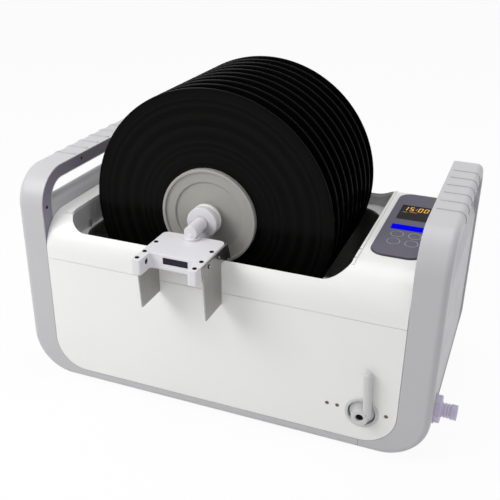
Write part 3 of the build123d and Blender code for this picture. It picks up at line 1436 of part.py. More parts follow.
spindle_rod = rod((spindle_x, spindle_start_y, spindle_z), (0, 1, 0), spindle_radius,
                  rear_nut_y + rear_nut_length + over - spindle_start_y)
with BuildPart() as spindle_shaft:
    add(spindle_rod.part)
    add(spindle_gear.part)
save(spindle_shaft, "spindle_shaft")
lock_hub = on_spindle(((spindle_bore, 0), (hub_radius - hub_chamfer, 0), (hub_radius, hub_chamfer),
                       (hub_radius, hub_length), (hub_groove_radius, hub_length),
                       (hub_groove_radius, hub_length + hub_groove_length),
                       (spindle_bore, hub_length + hub_groove_length)), hub_front_y)
save(lock_hub, "lock_hub")
clamp_ring = on_spindle(((spindle_bore, 0), (hub_radius - hub_chamfer, 0), (hub_radius, hub_chamfer),
                         (hub_radius, ring_length), (spindle_bore, ring_length)), hub_rear_y)
save(clamp_ring, "clamp_ring")
flange_rim_inner = flange_radius - flange_rim_width
flange_outline = ((spindle_bore, -flange_boss_rise), (flange_boss_radius, -flange_boss_rise),
                  (flange_boss_radius, flange_rim_step + flange_dish_step),
                  (flange_dish_radius, flange_rim_step + flange_dish_step),
                  (flange_dish_radius + over, flange_rim_step), (flange_rim_inner, flange_rim_step),
                  (flange_rim_inner, over / 2), (flange_rim_inner + over / 2, 0), (flange_radius - over, 0),
                  (flange_radius, over), (flange_radius, flange_thickness), (spindle_bore, flange_thickness))
front_flange = on_spindle(flange_outline, front_flange_y)
save(front_flange, "front_flange")
rear_flange = turned(flange_outline, (spindle_x, rear_nut_y, spindle_z), (0, -1, 0))
save(rear_flange, "rear_flange")
with BuildPart() as rear_nut:
    with BuildSketch(Plane.XZ.offset(-rear_nut_y - flange_boss_rise)):
        with Locations((spindle_x, spindle_z)):
            Circle(rear_nut_radius)
            Circle(spindle_bore, mode=Mode.SUBTRACT)
            with PolarLocations(rear_nut_radius, rear_nut_grips):
                Circle(over, mode=Mode.SUBTRACT)
    extrude(amount=-rear_nut_length)
save(rear_nut, "rear_nut")

record_outline = ((record_hole_radius, 0), (record_label_radius, 0), (record_label_radius, groove_step),
                  (record_radius - record_bead_width, groove_step), (record_radius - record_bead_width, 0),
                  (record_radius, record_bead_edge), (record_radius, record_thickness - record_bead_edge),
                  (record_radius - record_bead_width, record_thickness),
                  (record_radius - record_bead_width, record_thickness - groove_step),
                  (record_label_radius, record_thickness - groove_step), (record_label_radius, record_thickness),
                  (record_hole_radius, record_thickness))
with BuildPart() as records:
    for place in range(record_count):
        add(on_spindle(record_outline, first_record_y - record_thickness / 2 + place * record_pitch).part)
save(records, "records")
spacer_length = record_pitch - record_thickness
spacer_outline = ((spindle_bore, 0), (spacer_disc_radius, 0), (spacer_disc_radius, spacer_disc_thickness),
                  (spacer_hub_radius, spacer_disc_thickness),
                  (spacer_hub_radius, spacer_length - spacer_disc_thickness),
                  (spacer_disc_radius, spacer_length - spacer_disc_thickness),
                  (spacer_disc_radius, spacer_length), (spindle_bore, spacer_length))
with BuildPart() as record_spacers:
    for place in range(record_count - 1):
        add(on_spindle(spacer_outline, first_record_y + record_thickness / 2 + place * record_pitch).part)
save(record_spacers, "record_spacers")
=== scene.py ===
"""The looks of a tabletop machine that cleans gramophone records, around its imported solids."""

import logging
import math
from abc import ABC, abstractmethod
from dataclasses import dataclass, field
from enum import Enum

import bmesh
import bpy
from mathutils import Matrix, Vector


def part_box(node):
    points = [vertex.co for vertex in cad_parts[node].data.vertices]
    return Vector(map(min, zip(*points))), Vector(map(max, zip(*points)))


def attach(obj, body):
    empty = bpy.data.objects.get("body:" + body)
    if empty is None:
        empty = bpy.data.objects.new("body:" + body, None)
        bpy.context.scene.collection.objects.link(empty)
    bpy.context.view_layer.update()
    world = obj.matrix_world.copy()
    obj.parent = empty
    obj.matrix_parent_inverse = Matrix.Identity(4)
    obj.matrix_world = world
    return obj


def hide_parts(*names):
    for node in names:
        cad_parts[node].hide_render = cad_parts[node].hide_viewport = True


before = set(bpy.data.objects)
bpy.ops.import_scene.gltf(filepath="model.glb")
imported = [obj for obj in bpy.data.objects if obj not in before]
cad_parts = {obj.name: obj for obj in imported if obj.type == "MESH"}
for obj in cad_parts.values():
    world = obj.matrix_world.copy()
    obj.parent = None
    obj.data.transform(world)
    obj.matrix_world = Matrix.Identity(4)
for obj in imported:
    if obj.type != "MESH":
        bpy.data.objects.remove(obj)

log = logging.getLogger("record_cleaner")
MM = 0.001
Colour = tuple[float, float, float]
Point = tuple[float, float, float]
Outline = list[tuple[float, float]]
MIX_SHARE, MIX_FIRST, MIX_SECOND, MIX_COLOUR = 0, 6, 7, 2
BEVEL_SAMPLES = 4
DOUBLES_WITHIN = 1e-6
SHARP_FROM = math.radians(35.0)


class Direction(Enum):
    """An axis of the machine's frame."""

    X = 0
    Y = 1
    Z = 2

    @property
    def vector(self) -> Vector:
        """The unit vector along the axis."""
        return Vector([1.0 if place == self.value else 0.0 for place in range(3)])


# ------------------------------------------------------------------ shader expressions
class Signal:
    """A shader output that joins Python sums, each of which adds its Math node."""

    def __init__(self, graph: "Graph", socket: bpy.types.NodeSocket) -> None:
        """Wrap a socket.

        Args:
            graph: The material's graph.
            socket: The output socket.
        """
        self.graph = graph
        self.socket = socket

    def math(self, operation: str, *others: "Signal | float") -> "Signal":
        """Apply a Math node.

        Args:
            operation: The node's operation.
            others: The values after this one.

        Returns:
            The node's result.
        """
        values = {place: value for place, value in enumerate((self, *others))}
        return self.graph.node("ShaderNodeMath", {"operation": operation}, values)

    def __add__(self, other: "Signal | float") -> "Signal":
        """Add."""
        return self.math("ADD", other)

    def __sub__(self, other: "Signal | float") -> "Signal":
        """Subtract."""
        return self.math("SUBTRACT", other)

    def __rsub__(self, other: float) -> "Signal":
        """Subtract this from a number."""
        return self.graph.node("ShaderNodeMath", {"operation": "SUBTRACT"}, {0: other, 1: self})

    def __mul__(self, other: "Signal | float") -> "Signal":
        """Multiply."""
        return self.math("MULTIPLY", other)

    def __gt__(self, other: float) -> "Signal":
        """One where this is greater, else zero."""
        return self.math("GREATER_THAN", other)

    def __lt__(self, other: float) -> "Signal":
        """One where this is less, else zero."""
        return self.math("LESS_THAN", other)

    __radd__ = __add__
    __rmul__ = __mul__

    def ramp(self, low: float, high: float) -> "Signal":
        """Rise smoothly from 0 at low to 1 at high."""
        return self.graph.node("ShaderNodeMapRange", {"interpolation_type": "SMOOTHSTEP"},
                               {"Value": self, "From Min": low, "From Max": high})


class Graph:
    """A material's nodes."""

    def __init__(self, name: str) -> None:
        """Start a material.

        Args:
            name: The material's name.
        """
        self.material = bpy.data.materials.new(name)
        self.material.use_nodes = True
        self.tree = self.material.node_tree
        self.shader = self.tree.nodes["Principled BSDF"]

    def node(self, kind: str, settings: dict, inputs: dict, output: int | str = 0) -> Signal:
        """Add a node.

        Args:
            kind: The node's type.
            settings: Its settings, which are set before its sockets.
            inputs: Socket name or number to a value or a signal.
            output: Which output is returned.

        Returns:
            The chosen output.
        """
        made = self.tree.nodes.new(kind)
        for key, value in settings.items():
            setattr(made, key, value)
        for key, value in inputs.items():
            self.feed(made.inputs[key], value)
        return Signal(self, made.outputs[output])

    def feed(self, socket: bpy.types.NodeSocket, value: "Signal | float | tuple") -> None:
        """Give a socket a value or a link."""
        if isinstance(value, Signal):
            self.tree.links.new(value.socket, socket)
        elif isinstance(value, tuple) and len(value) == 3 and socket.type == "RGBA":
            socket.default_value = (*value, 1.0)
        else:
            socket.default_value = value

    def place(self, centre: Point = (0.0, 0.0, 0.0), scale: Point = (1.0, 1.0, 1.0)) -> Signal:
        """Object coordinates about a centre, stretched by a scale."""
        spot = self.node("ShaderNodeTexCoord", {}, {}, "Object")
        moved = tuple(-c * s for c, s in zip(centre, scale))
        inputs = {"Vector": spot, "Location": moved, "Scale": scale}
        return self.node("ShaderNodeMapping", {}, inputs)

    def noise(self, where: Signal, scale: float, detail: float = 2.0) -> Signal:
        """Noise between 0 and 1."""
        inputs = {"Vector": where, "Scale": scale, "Detail": detail}
        return self.node("ShaderNodeTexNoise", {}, inputs)

    def blend(self, share: Signal, first: Colour, second: Colour) -> Signal:
        """Mix two colours."""
        inputs = {MIX_SHARE: share, MIX_FIRST: first, MIX_SECOND: second}
        return self.node("ShaderNodeMix", {"data_type": "RGBA"}, inputs, MIX_COLOUR)

    def radius(self, centre: Point, about: Direction) -> Signal:
        """The distance from an axis through a centre."""
        flat = tuple(0.0 if place == about.value else 1.0 for place in range(3))
        inputs = {0: self.place(centre, flat)}
        return self.node("ShaderNodeVectorMath", {"operation": "LENGTH"}, inputs, "Value")

    def relief(self, height: Signal, strength: float, distance: float, edge: float) -> Signal:
        """A bumped normal over softened edges.

        Args:
            height: The relief's height, 0 to 1.
            strength: The bump's strength.
            distance: The height of 1, in metres.
            edge: The radius that softens the edges, in metres, or 0.

        Returns:
            The normal.
        """
        inputs = {"Height": height, "Strength": strength, "Distance": distance}
        if edge:
            inputs["Normal"] = self.node("ShaderNodeBevel", {"samples": BEVEL_SAMPLES},
                                         {"Radius": edge})
        return self.node("ShaderNodeBump", {}, inputs)

    def surface(self, **sockets: "Signal | float | tuple") -> bpy.types.Material:
        """Feed the shader's sockets, named with _ for each space, and return the material."""
        for key, value in sockets.items():
            self.feed(self.shader.inputs[key.replace("_", " ")], value)
        return self.material


# ------------------------------------------------------------------ finishes
@dataclass(frozen=True)
class Finish(ABC):
    """A named surface finish."""

    name: str
    colour: Colour

    @abstractmethod
    def paint(self, graph: Graph) -> bpy.types.Material:
        """Lay the finish's nodes out in a graph."""

    def material(self) -> bpy.types.Material:
        """The finish's material, made once."""
        label = f"{self.name}_finish"
        known = bpy.data.materials.get(label)
        return known if known else self.paint(Graph(label))

    def dress(self, *objects: bpy.types.Object) -> None:
        """Give the finish to objects, in every slot they have."""
        for item in objects:
            if not item.material_slots:
                item.data.materials.append(self.material())
            for place in item.material_slots:
                place.material = self.material()


@dataclass(frozen=True)
class Moulded(Finish):
    """Moulded plastic: fine spark grain, a slow drift of tone, handling marks in the sheen."""

    roughness: float = 0.42
    grain: float = 1400.0
    grain_height: float = 0.00002
    drift: float = 0.02
    edge: float = 0.0005
    sheen: float = 0.5
    drift_scale: float = 7.0
    smear_scale: float = 38.0
    smear_dulling: float = 0.10
    relief_strength: float = 0.35

    def paint(self, graph: Graph) -> bpy.types.Material:
        """Lay the finish's nodes out in a graph."""
        where = graph.place()
        slow = graph.noise(where, self.drift_scale, 3.0)
        fine = graph.noise(where, self.grain, 2.0)
        smear = graph.noise(where, self.smear_scale, 4.0)
        deep = tuple(channel * (1.0 - 2.0 * self.drift) for channel in self.colour)
        return graph.surface(
            Base_Color=graph.blend(slow.ramp(0.3, 0.7) * 0.7 + fine * 0.3, deep, self.colour),
            Roughness=(smear.ramp(0.35, 0.75) * self.smear_dulling + fine * 0.03
                       + (self.roughness - self.smear_dulling / 2)),
            Specular_IOR_Level=self.sheen,
            Normal=graph.relief(fine, self.relief_strength, self.grain_height, self.edge))


@dataclass(frozen=True)
class Brushed(Finish):
    """Sheet metal with fine scratches along one axis."""

    along: Direction = Direction.Z
    roughness: float = 0.30
    stretch: float = 60.0
    edge: float = 0.0004
    line_scale: float = 22.0
    line_height: float = 0.00003
    cloud_scale: float = 9.0

    def paint(self, graph: Graph) -> bpy.types.Material:
        """Lay the finish's nodes out in a graph."""
        scale = tuple(1.0 if place == self.along.value else self.stretch for place in range(3))
        where = graph.place(scale=scale)
        lines = graph.noise(where, self.line_scale, 5.0)
        cloud = graph.noise(graph.place(), self.cloud_scale, 3.0)
        dark = tuple(channel * 0.80 for channel in self.colour)
        return graph.surface(
            Base_Color=graph.blend(lines.ramp(0.25, 0.75), dark, self.colour),
            Metallic=1.0,
            Roughness=lines * 0.16 + cloud * 0.12 + (self.roughness - 0.12),
            Normal=graph.relief(lines, 0.18, self.line_height, self.edge))


@dataclass(frozen=True)
class Lathed(Finish):
    """Turned metal with rings about an axis."""

    about: Direction = Direction.Y
    centre: Point = (0.0, 0.0, 0.0)
    roughness: float = 0.28
    ring: float = 0.0004
    ring_height: float = 0.00002
    edge: float = 0.0003
    cloud_scale: float = 60.0

    def paint(self, graph: Graph) -> bpy.types.Material:
        """Lay the finish's nodes out in a graph."""
        out = graph.radius(self.centre, self.about)
        rings = (out * (math.tau / self.ring)).math("SINE") * 0.5 + 0.5
        cloud = graph.noise(graph.place(), self.cloud_scale, 3.0)
        dark = tuple(channel * 0.78 for channel in self.colour)
        return graph.surface(
            Base_Color=graph.blend(cloud.ramp(0.3, 0.7), dark, self.colour),
            Metallic=1.0,
            Roughness=cloud * 0.15 + (self.roughness - 0.05),
            Normal=graph.relief(rings, 0.15, self.ring_height, self.edge))


@dataclass(frozen=True)
class GroovedVinyl(Finish):
    """Pressed black vinyl: bands of grooves about the spindle, glossy gaps between the tracks."""

    centre: Point = (0.0, 0.0, 0.0)
    inner: float = 0.060
    outer: float = 0.1465
    pitch: float = 0.0011
    groove_height: float = 0.00004
    track_scale: float = 130.0
    dust_scale: float = 210.0

    def paint(self, graph: Graph) -> bpy.types.Material:
        """Lay the finish's nodes out in a graph."""
        out = graph.radius(self.centre, Direction.Y)
        band = graph.node("ShaderNodeTexNoise", {"noise_dimensions": "1D"},
                          {"W": out, "Scale": self.track_scale, "Detail": 3.0})
        grooved = (out > self.inner) * (out < self.outer)
        waves = (out * (math.tau / self.pitch)).math("SINE") * 0.5 + 0.5
        tracks = band.ramp(0.40, 0.60)
        dust = graph.noise(graph.place(), self.dust_scale, 3.0)
        pale = tuple(channel * 1.8 for channel in self.colour)
        return graph.surface(
            Base_Color=graph.blend(tracks * grooved, self.colour, pale),
            Roughness=grooved * (tracks * 0.08 + 0.10) + dust * 0.04 + 0.10,
            IOR=1.28,
            Specular_IOR_Level=0.12,
            Normal=graph.relief(waves * grooved, 0.10, self.groove_height, 0.0))


@dataclass(frozen=True)
class Rubber(Finish):
    """Matt rubber with a coarse skin."""

    roughness: float = 0.75
    skin_scale: float = 600.0
    skin_height: float = 0.0001
    edge: float = 0.0004

    def paint(self, graph: Graph) -> bpy.types.Material:
        """Lay the finish's nodes out in a graph."""
        skin = graph.noise(graph.place(), self.skin_scale, 4.0)
        pale = tuple(channel * 1.5 for channel in self.colour)
        return graph.surface(
            Base_Color=graph.blend(skin, self.colour, pale),
            Roughness=skin * 0.2 + (self.roughness - 0.1),
            Normal=graph.relief(skin, 0.4, self.skin_height, self.edge))


@dataclass(frozen=True)
class SmokedWindow(Finish):
    """A dark glossy window with a faint haze."""

    roughness: float = 0.08
    haze_scale: float = 55.0

    def paint(self, graph: Graph) -> bpy.types.Material:
        """Lay the finish's nodes out in a graph."""
        haze = graph.noise(graph.place(), self.haze_scale, 3.0)
        pale = tuple(channel + 0.008 for channel in self.colour)
        return graph.surface(
            Base_Color=graph.blend(haze.ramp(0.3, 0.8), self.colour, pale),
            Roughness=haze * 0.08 + self.roughness,
            IOR=1.12,
            Specular_IOR_Level=0.30)


@dataclass(frozen=True)
class Glow(Finish):
    """Lit segments on the window, with a fine grain in their light."""

    strength: float = 1.0
    grain: float = 900.0

    def paint(self, graph: Graph) -> bpy.types.Material:
        """Lay the finish's nodes out in a graph."""
        grain = graph.noise(graph.place(), self.grain, 2.0)
        dim = tuple(channel * 0.75 for channel in self.colour)
        return graph.surface(
            Base_Color=dim,
            Roughness=0.5,
            Emission_Color=graph.blend(grain.ramp(0.3, 0.6), dim, self.colour),
            Emission_Strength=self.strength)


@dataclass(frozen=True)
class Foil(Finish):
    """Printed foil: an even fine tooth and a faint drift of tone."""

    roughness: float = 0.48
    sheen: float = 0.45
    bend: float = 1.5
    tooth_scale: float = 2200.0
    tooth_height: float = 0.00001
    edge: float = 0.0003
    drift_scale: float = 24.0

    def paint(self, graph: Graph) -> bpy.types.Material:
        """Lay the finish's nodes out in a graph."""
        tooth = graph.noise(graph.place(), self.tooth_scale, 2.0)
        drift = graph.noise(graph.place(), self.drift_scale, 3.0)
        pale = tuple(channel * 1.12 for channel in self.colour)
        return graph.surface(
            Base_Color=graph.blend(drift * 0.5 + tooth * 0.5, self.colour, pale),
            Roughness=tooth * 0.08 + (self.roughness - 0.04) + drift * 0.06,
            Specular_IOR_Level=self.sheen,
            IOR=self.bend,
            Normal=graph.relief(tooth, 0.25, self.tooth_height, self.edge))


@dataclass(frozen=True)
class CircuitBoard(Finish):
    """Green board with paler tracks."""

    track_colour: Colour = (0.25, 0.42, 0.18)
    cell_scale: float = 170.0
    track_height: float = 0.00005

    def paint(self, graph: Graph) -> bpy.types.Material:
        """Lay the finish's nodes out in a graph."""
        cells = graph.node("ShaderNodeTexVoronoi",
                           {"distance": "MANHATTAN", "feature": "DISTANCE_TO_EDGE"},
                           {"Vector": graph.place(), "Scale": self.cell_scale}, "Distance")
        tracks = 1 - cells.ramp(0.03, 0.08)
        return graph.surface(
            Base_Color=graph.blend(tracks * 0.6, self.colour, self.track_colour),
            Roughness=tracks * 0.1 + 0.38,
            Normal=graph.relief(tracks, 0.3, self.track_height, 0.0))


SPINDLE_AXIS: Point = (-0.029, 0.0, 0.238)
VALVE_AXIS: Point = (0.182, 0.0, 0.056)
WHITE_SHELL = Moulded("white_shell", (0.88, 0.88, 0.865), roughness=0.36, drift=0.008, edge=0.0006)
GREY_SHELL = Moulded("grey_shell", (0.53, 0.525, 0.545), roughness=0.42, drift=0.015, edge=0.0012)
WELL_WALL = Moulded("well_wall", (0.62, 0.61, 0.62), roughness=0.40, drift=0.015, edge=0.0005)
# The handle liners' grey is partly painted shade: it is darkened and tinted purple for the shade on
# their inner faces.
LINER_PAINTED_SHADE = Moulded("liner_grey", (0.265, 0.243, 0.305), roughness=0.52, drift=0.02, edge=0.0004)
FLANGE_GREY = Moulded("flange_grey", (0.40, 0.39, 0.365), roughness=0.44, drift=0.03,
                      grain=1100.0, edge=0.0006)
DRIVE_WHITE = Moulded("drive_white", (0.77, 0.76, 0.79), roughness=0.42, drift=0.012, edge=0.0006)
LEVER_WHITE = Moulded("lever_white", (0.62, 0.62, 0.625), roughness=0.34, drift=0.015, edge=0.0006)
BARB_GREY = Moulded("barb_grey", (0.66, 0.61, 0.78), roughness=0.45, drift=0.02, edge=0.0003)
BLACK_PLASTIC = Moulded("black_plastic", (0.022, 0.022, 0.025), roughness=0.45, drift=0.05,
                        edge=0.0004)
SPACER_BLACK = Moulded("spacer_black", (0.03, 0.03, 0.032), roughness=0.55, drift=0.05, edge=0.0003)
CERAMIC = Moulded("fired_ceramic", (0.55, 0.45, 0.38), roughness=0.60, drift=0.05, edge=0.0003)
KEY_LINE = Foil("key_line", (0.40, 0.39, 0.43), sheen=0.2)
PAD_RED = Rubber("heater_pad", (0.42, 0.11, 0.05))
FOOT_BLACK = Rubber("foot_rubber", (0.025, 0.025, 0.025))
STAINLESS = Brushed("stainless_tank", (0.60, 0.60, 0.59), along=Direction.X, roughness=0.30)
HOOK_STEEL = Brushed("hook_steel", (0.44, 0.43, 0.41), roughness=0.32, edge=0.0009)
PLAIN_STEEL = Brushed("plain_steel", (0.42, 0.42, 0.43), along=Direction.X, roughness=0.38)
ALUMINIUM = Lathed("machined_aluminium", (0.75, 0.75, 0.76), about=Direction.Z)
SHAFT_STEEL = Lathed("shaft_steel", (0.58, 0.58, 0.58), centre=SPINDLE_AXIS)
BRASS = Lathed("valve_brass", (0.68, 0.52, 0.26), about=Direction.X, centre=(0.0, -0.105, 0.056))
DARK_SCREW = Moulded("dark_screw", (0.010, 0.010, 0.013), roughness=0.45, drift=0.05,
                     edge=0.0, sheen=0.05)
BRIGHT_SCREW = Lathed("bright_screw", (0.55, 0.55, 0.55), about=Direction.Y, roughness=0.30)
PANEL_SCREW = Lathed("panel_screw", (0.26, 0.21, 0.18), about=Direction.Y, roughness=0.35)
VINYL = GroovedVinyl("vinyl", (0.0025, 0.0027, 0.0024), centre=SPINDLE_AXIS)
SLATE_FOIL = Foil("slate_foil", (0.120, 0.114, 0.148), sheen=0.2, bend=1.3)
PANEL_EDGE = Moulded("panel_edge", (0.035, 0.032, 0.042), roughness=0.40, drift=0.03, edge=0.0003)
BLUE_FOIL = Foil("blue_bar", (0.0, 0.0, 0.95), sheen=0.05, bend=1.1)
DISPLAY_WINDOW = SmokedWindow("display_window", (0.006, 0.005, 0.006))
DRIVE_WINDOW = SmokedWindow("drive_window", (0.030, 0.026, 0.040), roughness=0.25)
GREEN_BOARD = CircuitBoard("green_board", (0.02, 0.12, 0.05))
AMBER = Glow("amber_segments", (0.80, 0.42, 0.02), strength=0.75)
RED_GLOW = Glow("red_segments", (0.45, 0.08, 0.01), strength=0.7)
GREEN_GLOW = Glow("green_segments", (0.10, 0.22, 0.02), strength=0.6)


# ------------------------------------------------------------------ shaping
class Workpiece:
    """A mesh that is shaped by operators and then becomes a finished piece."""

    def __init__(self) -> None:
        """Start with an empty mesh."""
        self.mesh = bmesh.new()

    def turned(self, outline: Outline, foot: Point, about: Vector, steps: int = 96) -> None:
        """Spin a closed outline about a line.

        Args:
            outline: Points of (radius, height) from the foot, in metres.
            foot: The point on the line where the height is 0.
            about: The line's direction.
            steps: The number of steps round the line.
        """
        side = about.orthogonal().normalized()
        base = Vector(foot)
        corners = [self.mesh.verts.new(base + side * radius + about * height)
                   for radius, height in outline]
        edges = [self.mesh.edges.new((corners[place - 1], corners[place]))
                 for place in range(len(corners))]
        bmesh.ops.spin(self.mesh, geom=corners + edges, cent=base, axis=about, dvec=(0, 0, 0),
                       angle=math.tau, steps=steps, use_merge=True, use_duplicate=False)
        bmesh.ops.remove_doubles(self.mesh, verts=self.mesh.verts[:], dist=DOUBLES_WITHIN)
        loose = [edge for edge in self.mesh.edges if not edge.link_faces]
        bmesh.ops.delete(self.mesh, geom=loose, context="EDGES")
        bmesh.ops.recalc_face_normals(self.mesh, faces=self.mesh.faces[:])

    def slab(self, low: Point, high: Point) -> list[bmesh.types.BMVert]:
        """Add a box between two corners and return its corners."""
        middle = (Vector(low) + Vector(high)) / 2
        size = Vector(high) - Vector(low)
        placing = Matrix.Translation(middle) @ Matrix.Diagonal((*size, 1.0))
        return bmesh.ops.create_cube(self.mesh, size=1.0, matrix=placing)["verts"]

    def soften(self, width: float, segments: int = 2, sharper: float = 30.0) -> None:
        """Bevel every edge that turns by more than an angle, in degrees."""
        limit = math.radians(sharper)
        edges = [edge for edge in self.mesh.edges
                 if len(edge.link_faces) == 2 and edge.calc_face_angle(0.0) > limit]
        bmesh.ops.bevel(self.mesh, geom=edges, offset=width, offset_type="OFFSET",
                        segments=segments, profile=0.5, affect="EDGES", clamp_overlap=True,
                        material=-1)

    def absorb(self, other: "Workpiece") -> None:
        """Take over another workpiece's mesh."""
        data = bpy.data.meshes.new("absorbed")
        other.mesh.to_mesh(data)
        other.mesh.free()
        self.mesh.from_mesh(data)
        bpy.data.meshes.remove(data)

    def finish(self, name: str, body: str, finish: Finish, slot: str, *nodes: str) -> None:
        """Make the piece's object.

        Args:
            name: The piece's name.
            body: The body that it rides on.
            finish: Its finish.
            slot: The record's material slot that it belongs to; not used.
            nodes: The solids that it stands for.
        """
        data = bpy.data.meshes.new(name)
        self.mesh.to_mesh(data)
        self.mesh.free()
        data.shade_smooth()
        data.set_sharp_from_angle(angle=SHARP_FROM)
        piece = bpy.data.objects.new(name, data)
        bpy.context.scene.collection.objects.link(piece)
        finish.dress(piece)
        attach(piece, body)
        if nodes:
            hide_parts(*nodes)
        log.info("%s: %d faces", name, len(data.polygons))


def cut(target: bpy.types.Object, tool: Workpiece) -> None:
    """Cut a tool's shape out of an object and keep the result in its mesh.

    Args:
        target: The object that is cut.
        tool: The shape that is taken away.
    """
    data = bpy.data.meshes.new("cutter")
    tool.mesh.to_mesh(data)
    tool.mesh.free()
    cutter = bpy.data.objects.new("cutter", data)
    bpy.context.scene.collection.objects.link(cutter)
    boolean = target.modifiers.new("recess", "BOOLEAN")
    boolean.operation = "DIFFERENCE"
    boolean.solver = "EXACT"
    boolean.use_self = True
    boolean.object = cutter
    bpy.context.view_layer.update()
    seen = target.evaluated_get(bpy.context.evaluated_depsgraph_get())
    shaped = bpy.data.meshes.new_from_object(seen)
    target.modifiers.clear()
    target.data = shaped
    bpy.data.objects.remove(cutter)


class SubAssembly(ABC):
    """A group of pieces that belong together."""

    def node(self, name: str) -> bpy.types.Object:
        """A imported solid's object."""
        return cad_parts[name]

    def build(self) -> None:
        """Make the group's own pieces."""

    @abstractmethod
    def dress(self) -> None:
        """Give the group's solids their finishes."""

    def finish_nodes(self, finishes: dict[Finish, tuple[str, ...]]) -> None:
        """Dress solids, each finish with its nodes."""
        for finish, names in finishes.items():
            finish.dress(*(self.node(name) for name in names))


@dataclass(frozen=True)
class CrossScrew:
    """A screw head with a crowned top and a cross recess.

    Heights and lengths inside it are shares of the head's height and radius.
    """

    radius: float
    height: float
    sides: int = 24
    arm_reach: float = 0.62
    arm_half_width: float = 0.16
    recess_floor: float = 0.35
    recess_top: float = 2.0
    wall: float = 0.7
    crown: tuple[tuple[float, float], ...] = ((0.16, 0.2), (0.22, 0.1))

    def head(self) -> bmesh.types.BMesh:
        """The uncut head, standing on the origin."""
        made = bmesh.new()
        ring = bmesh.ops.create_circle(made, cap_ends=True, segments=self.sides,
                                       radius=self.radius)["verts"]
        walls = bmesh.ops.extrude_face_region(made, geom=[ring[0].link_faces[0]])["geom"]
        top = [item for item in walls if isinstance(item, bmesh.types.BMVert)]
        bmesh.ops.translate(made, verts=top, vec=(0, 0, self.height * self.wall))
        lid = next(item for item in walls if isinstance(item, bmesh.types.BMFace))
        for inset, rise in self.crown:
            bmesh.ops.inset_region(made, faces=[lid], thickness=self.radius * inset, depth=0.0,
                                   use_even_offset=True)
            bmesh.ops.translate(made, verts=lid.verts[:], vec=(0, 0, self.height * rise))
        bmesh.ops.recalc_face_normals(made, faces=made.faces[:])
        return made

    def drive_into(self, work: Workpiece, seat: Point, out: Vector) -> None:
        """Add the head to a workpiece.

        Args:
            work: The workpiece that gets the head.
            seat: The middle of the head's seat.
            out: The direction that the head looks.
        """
        side = out.orthogonal().normalized()
        turn = Matrix((side, out.cross(side), out)).transposed().to_4x4()
        turn.translation = Vector(seat)
        made = self.head()
        bmesh.ops.transform(made, matrix=turn, verts=made.verts[:])
        data = bpy.data.meshes.new("screw_head")
        made.to_mesh(data)
        made.free()
        holder = bpy.data.objects.new("screw_head", data)
        bpy.context.scene.collection.objects.link(holder)
        recess = Workpiece()
        reach, half = self.radius * self.arm_reach, self.radius * self.arm_half_width
        floor, top = self.height * self.recess_floor, self.height * self.recess_top
        for wide, narrow in ((reach, half), (half, reach)):
            corners = recess.slab((-wide, -narrow, floor), (wide, narrow, top))
            bmesh.ops.transform(recess.mesh, matrix=turn, verts=corners)
        cut(holder, recess)
        work.mesh.from_mesh(holder.data)
        bpy.data.objects.remove(holder)


# ------------------------------------------------------------------ sub-assemblies
@dataclass
class Casing(SubAssembly):
    """Cover, well, panels, side frames and their liners."""

    liner_screw: CrossScrew = CrossScrew(2.0 * MM, 0.9 * MM)
    liner_seat_x: float = 223.1 * MM
    liner_screws: tuple[tuple[float, float], ...] = (
        (135.5 * MM, 236.0 * MM), (54.0 * MM, 273.0 * MM))
    panel_screw: CrossScrew = CrossScrew(2.2 * MM, 1.2 * MM)
    panel_columns: tuple[float, ...] = (141.6 * MM, 153.6 * MM, 209.8 * MM)
    panel_seat: tuple[float, float] = (-143.4 * MM, 58.0 * MM)
    rear_screw: CrossScrew = CrossScrew(3.2 * MM, 1.6 * MM)
    rear_column: float = 214.0 * MM
    rear_seat_y: float = 145.0 * MM
    rear_rows: tuple[float, ...] = (66.0 * MM, 118.0 * MM, 166.0 * MM)
    inlet_columns: tuple[float, float] = (110.0 * MM, 150.0 * MM)
    inlet_seat: tuple[float, float] = (147.5 * MM, 50.0 * MM)

    def build(self) -> None:
        """Make the screws of the liners, the panels and the inlet."""
        work = Workpiece()
        for side in (-1, 1):
            for y, z in self.liner_screws:
                for row in (-1, 1):
                    seat = (side * self.liner_seat_x, row * y, z)
                    self.liner_screw.drive_into(work, seat, Direction.X.vector * -side)
        work.finish("liner_screw_heads", "casing", DARK_SCREW, "screw_steel",
                    "handle_liner_screws")
        work = Workpiece()
        behind = Direction.Y.vector
        for x in self.panel_columns:
            self.panel_screw.drive_into(work, (x, *self.panel_seat), -behind)
        for x in (-self.rear_column, self.rear_column):
            for z in self.rear_rows:
                self.rear_screw.drive_into(work, (x, self.rear_seat_y, z), behind)
        for x in self.inlet_columns:
            self.rear_screw.drive_into(work, (x, *self.inlet_seat), behind)
        work.finish("panel_screw_heads", "casing", PANEL_SCREW, "screw_steel", "casing_screws")

    def dress(self) -> None:
        """Give the casing's solids their finishes."""
        self.finish_nodes({
            WHITE_SHELL: ("top_cover", "front_panel", "rear_panel"),
            WELL_WALL: ("tank_surround",),
            GREY_SHELL: ("left_side_frame", "right_side_frame", "bottom_strips"),
            # The liners get a darker, purple-tinted grey that is painted shade.
            LINER_PAINTED_SHADE: ("left_handle_liner", "right_handle_liner"),
            PLAIN_STEEL: ("base_plate",),
            FOOT_BLACK: ("feet",),
        })


@dataclass
class Bath(SubAssembly):
    """The tank and what is bonded to it."""

    def dress(self) -> None:
        """Give the bath's solids their finishes."""
        self.finish_nodes({
            STAINLESS: ("tank",),
            PLAIN_STEEL: ("transducer_back_masses",),
            ALUMINIUM: ("transducer_horns", "heat_sink"),
            BRIGHT_SCREW: ("basket_pins",),
            CERAMIC: ("transducer_ceramics",),
            PAD_RED: ("tank_heater",),
            GREEN_BOARD: ("generator_board", "control_board"),
        })


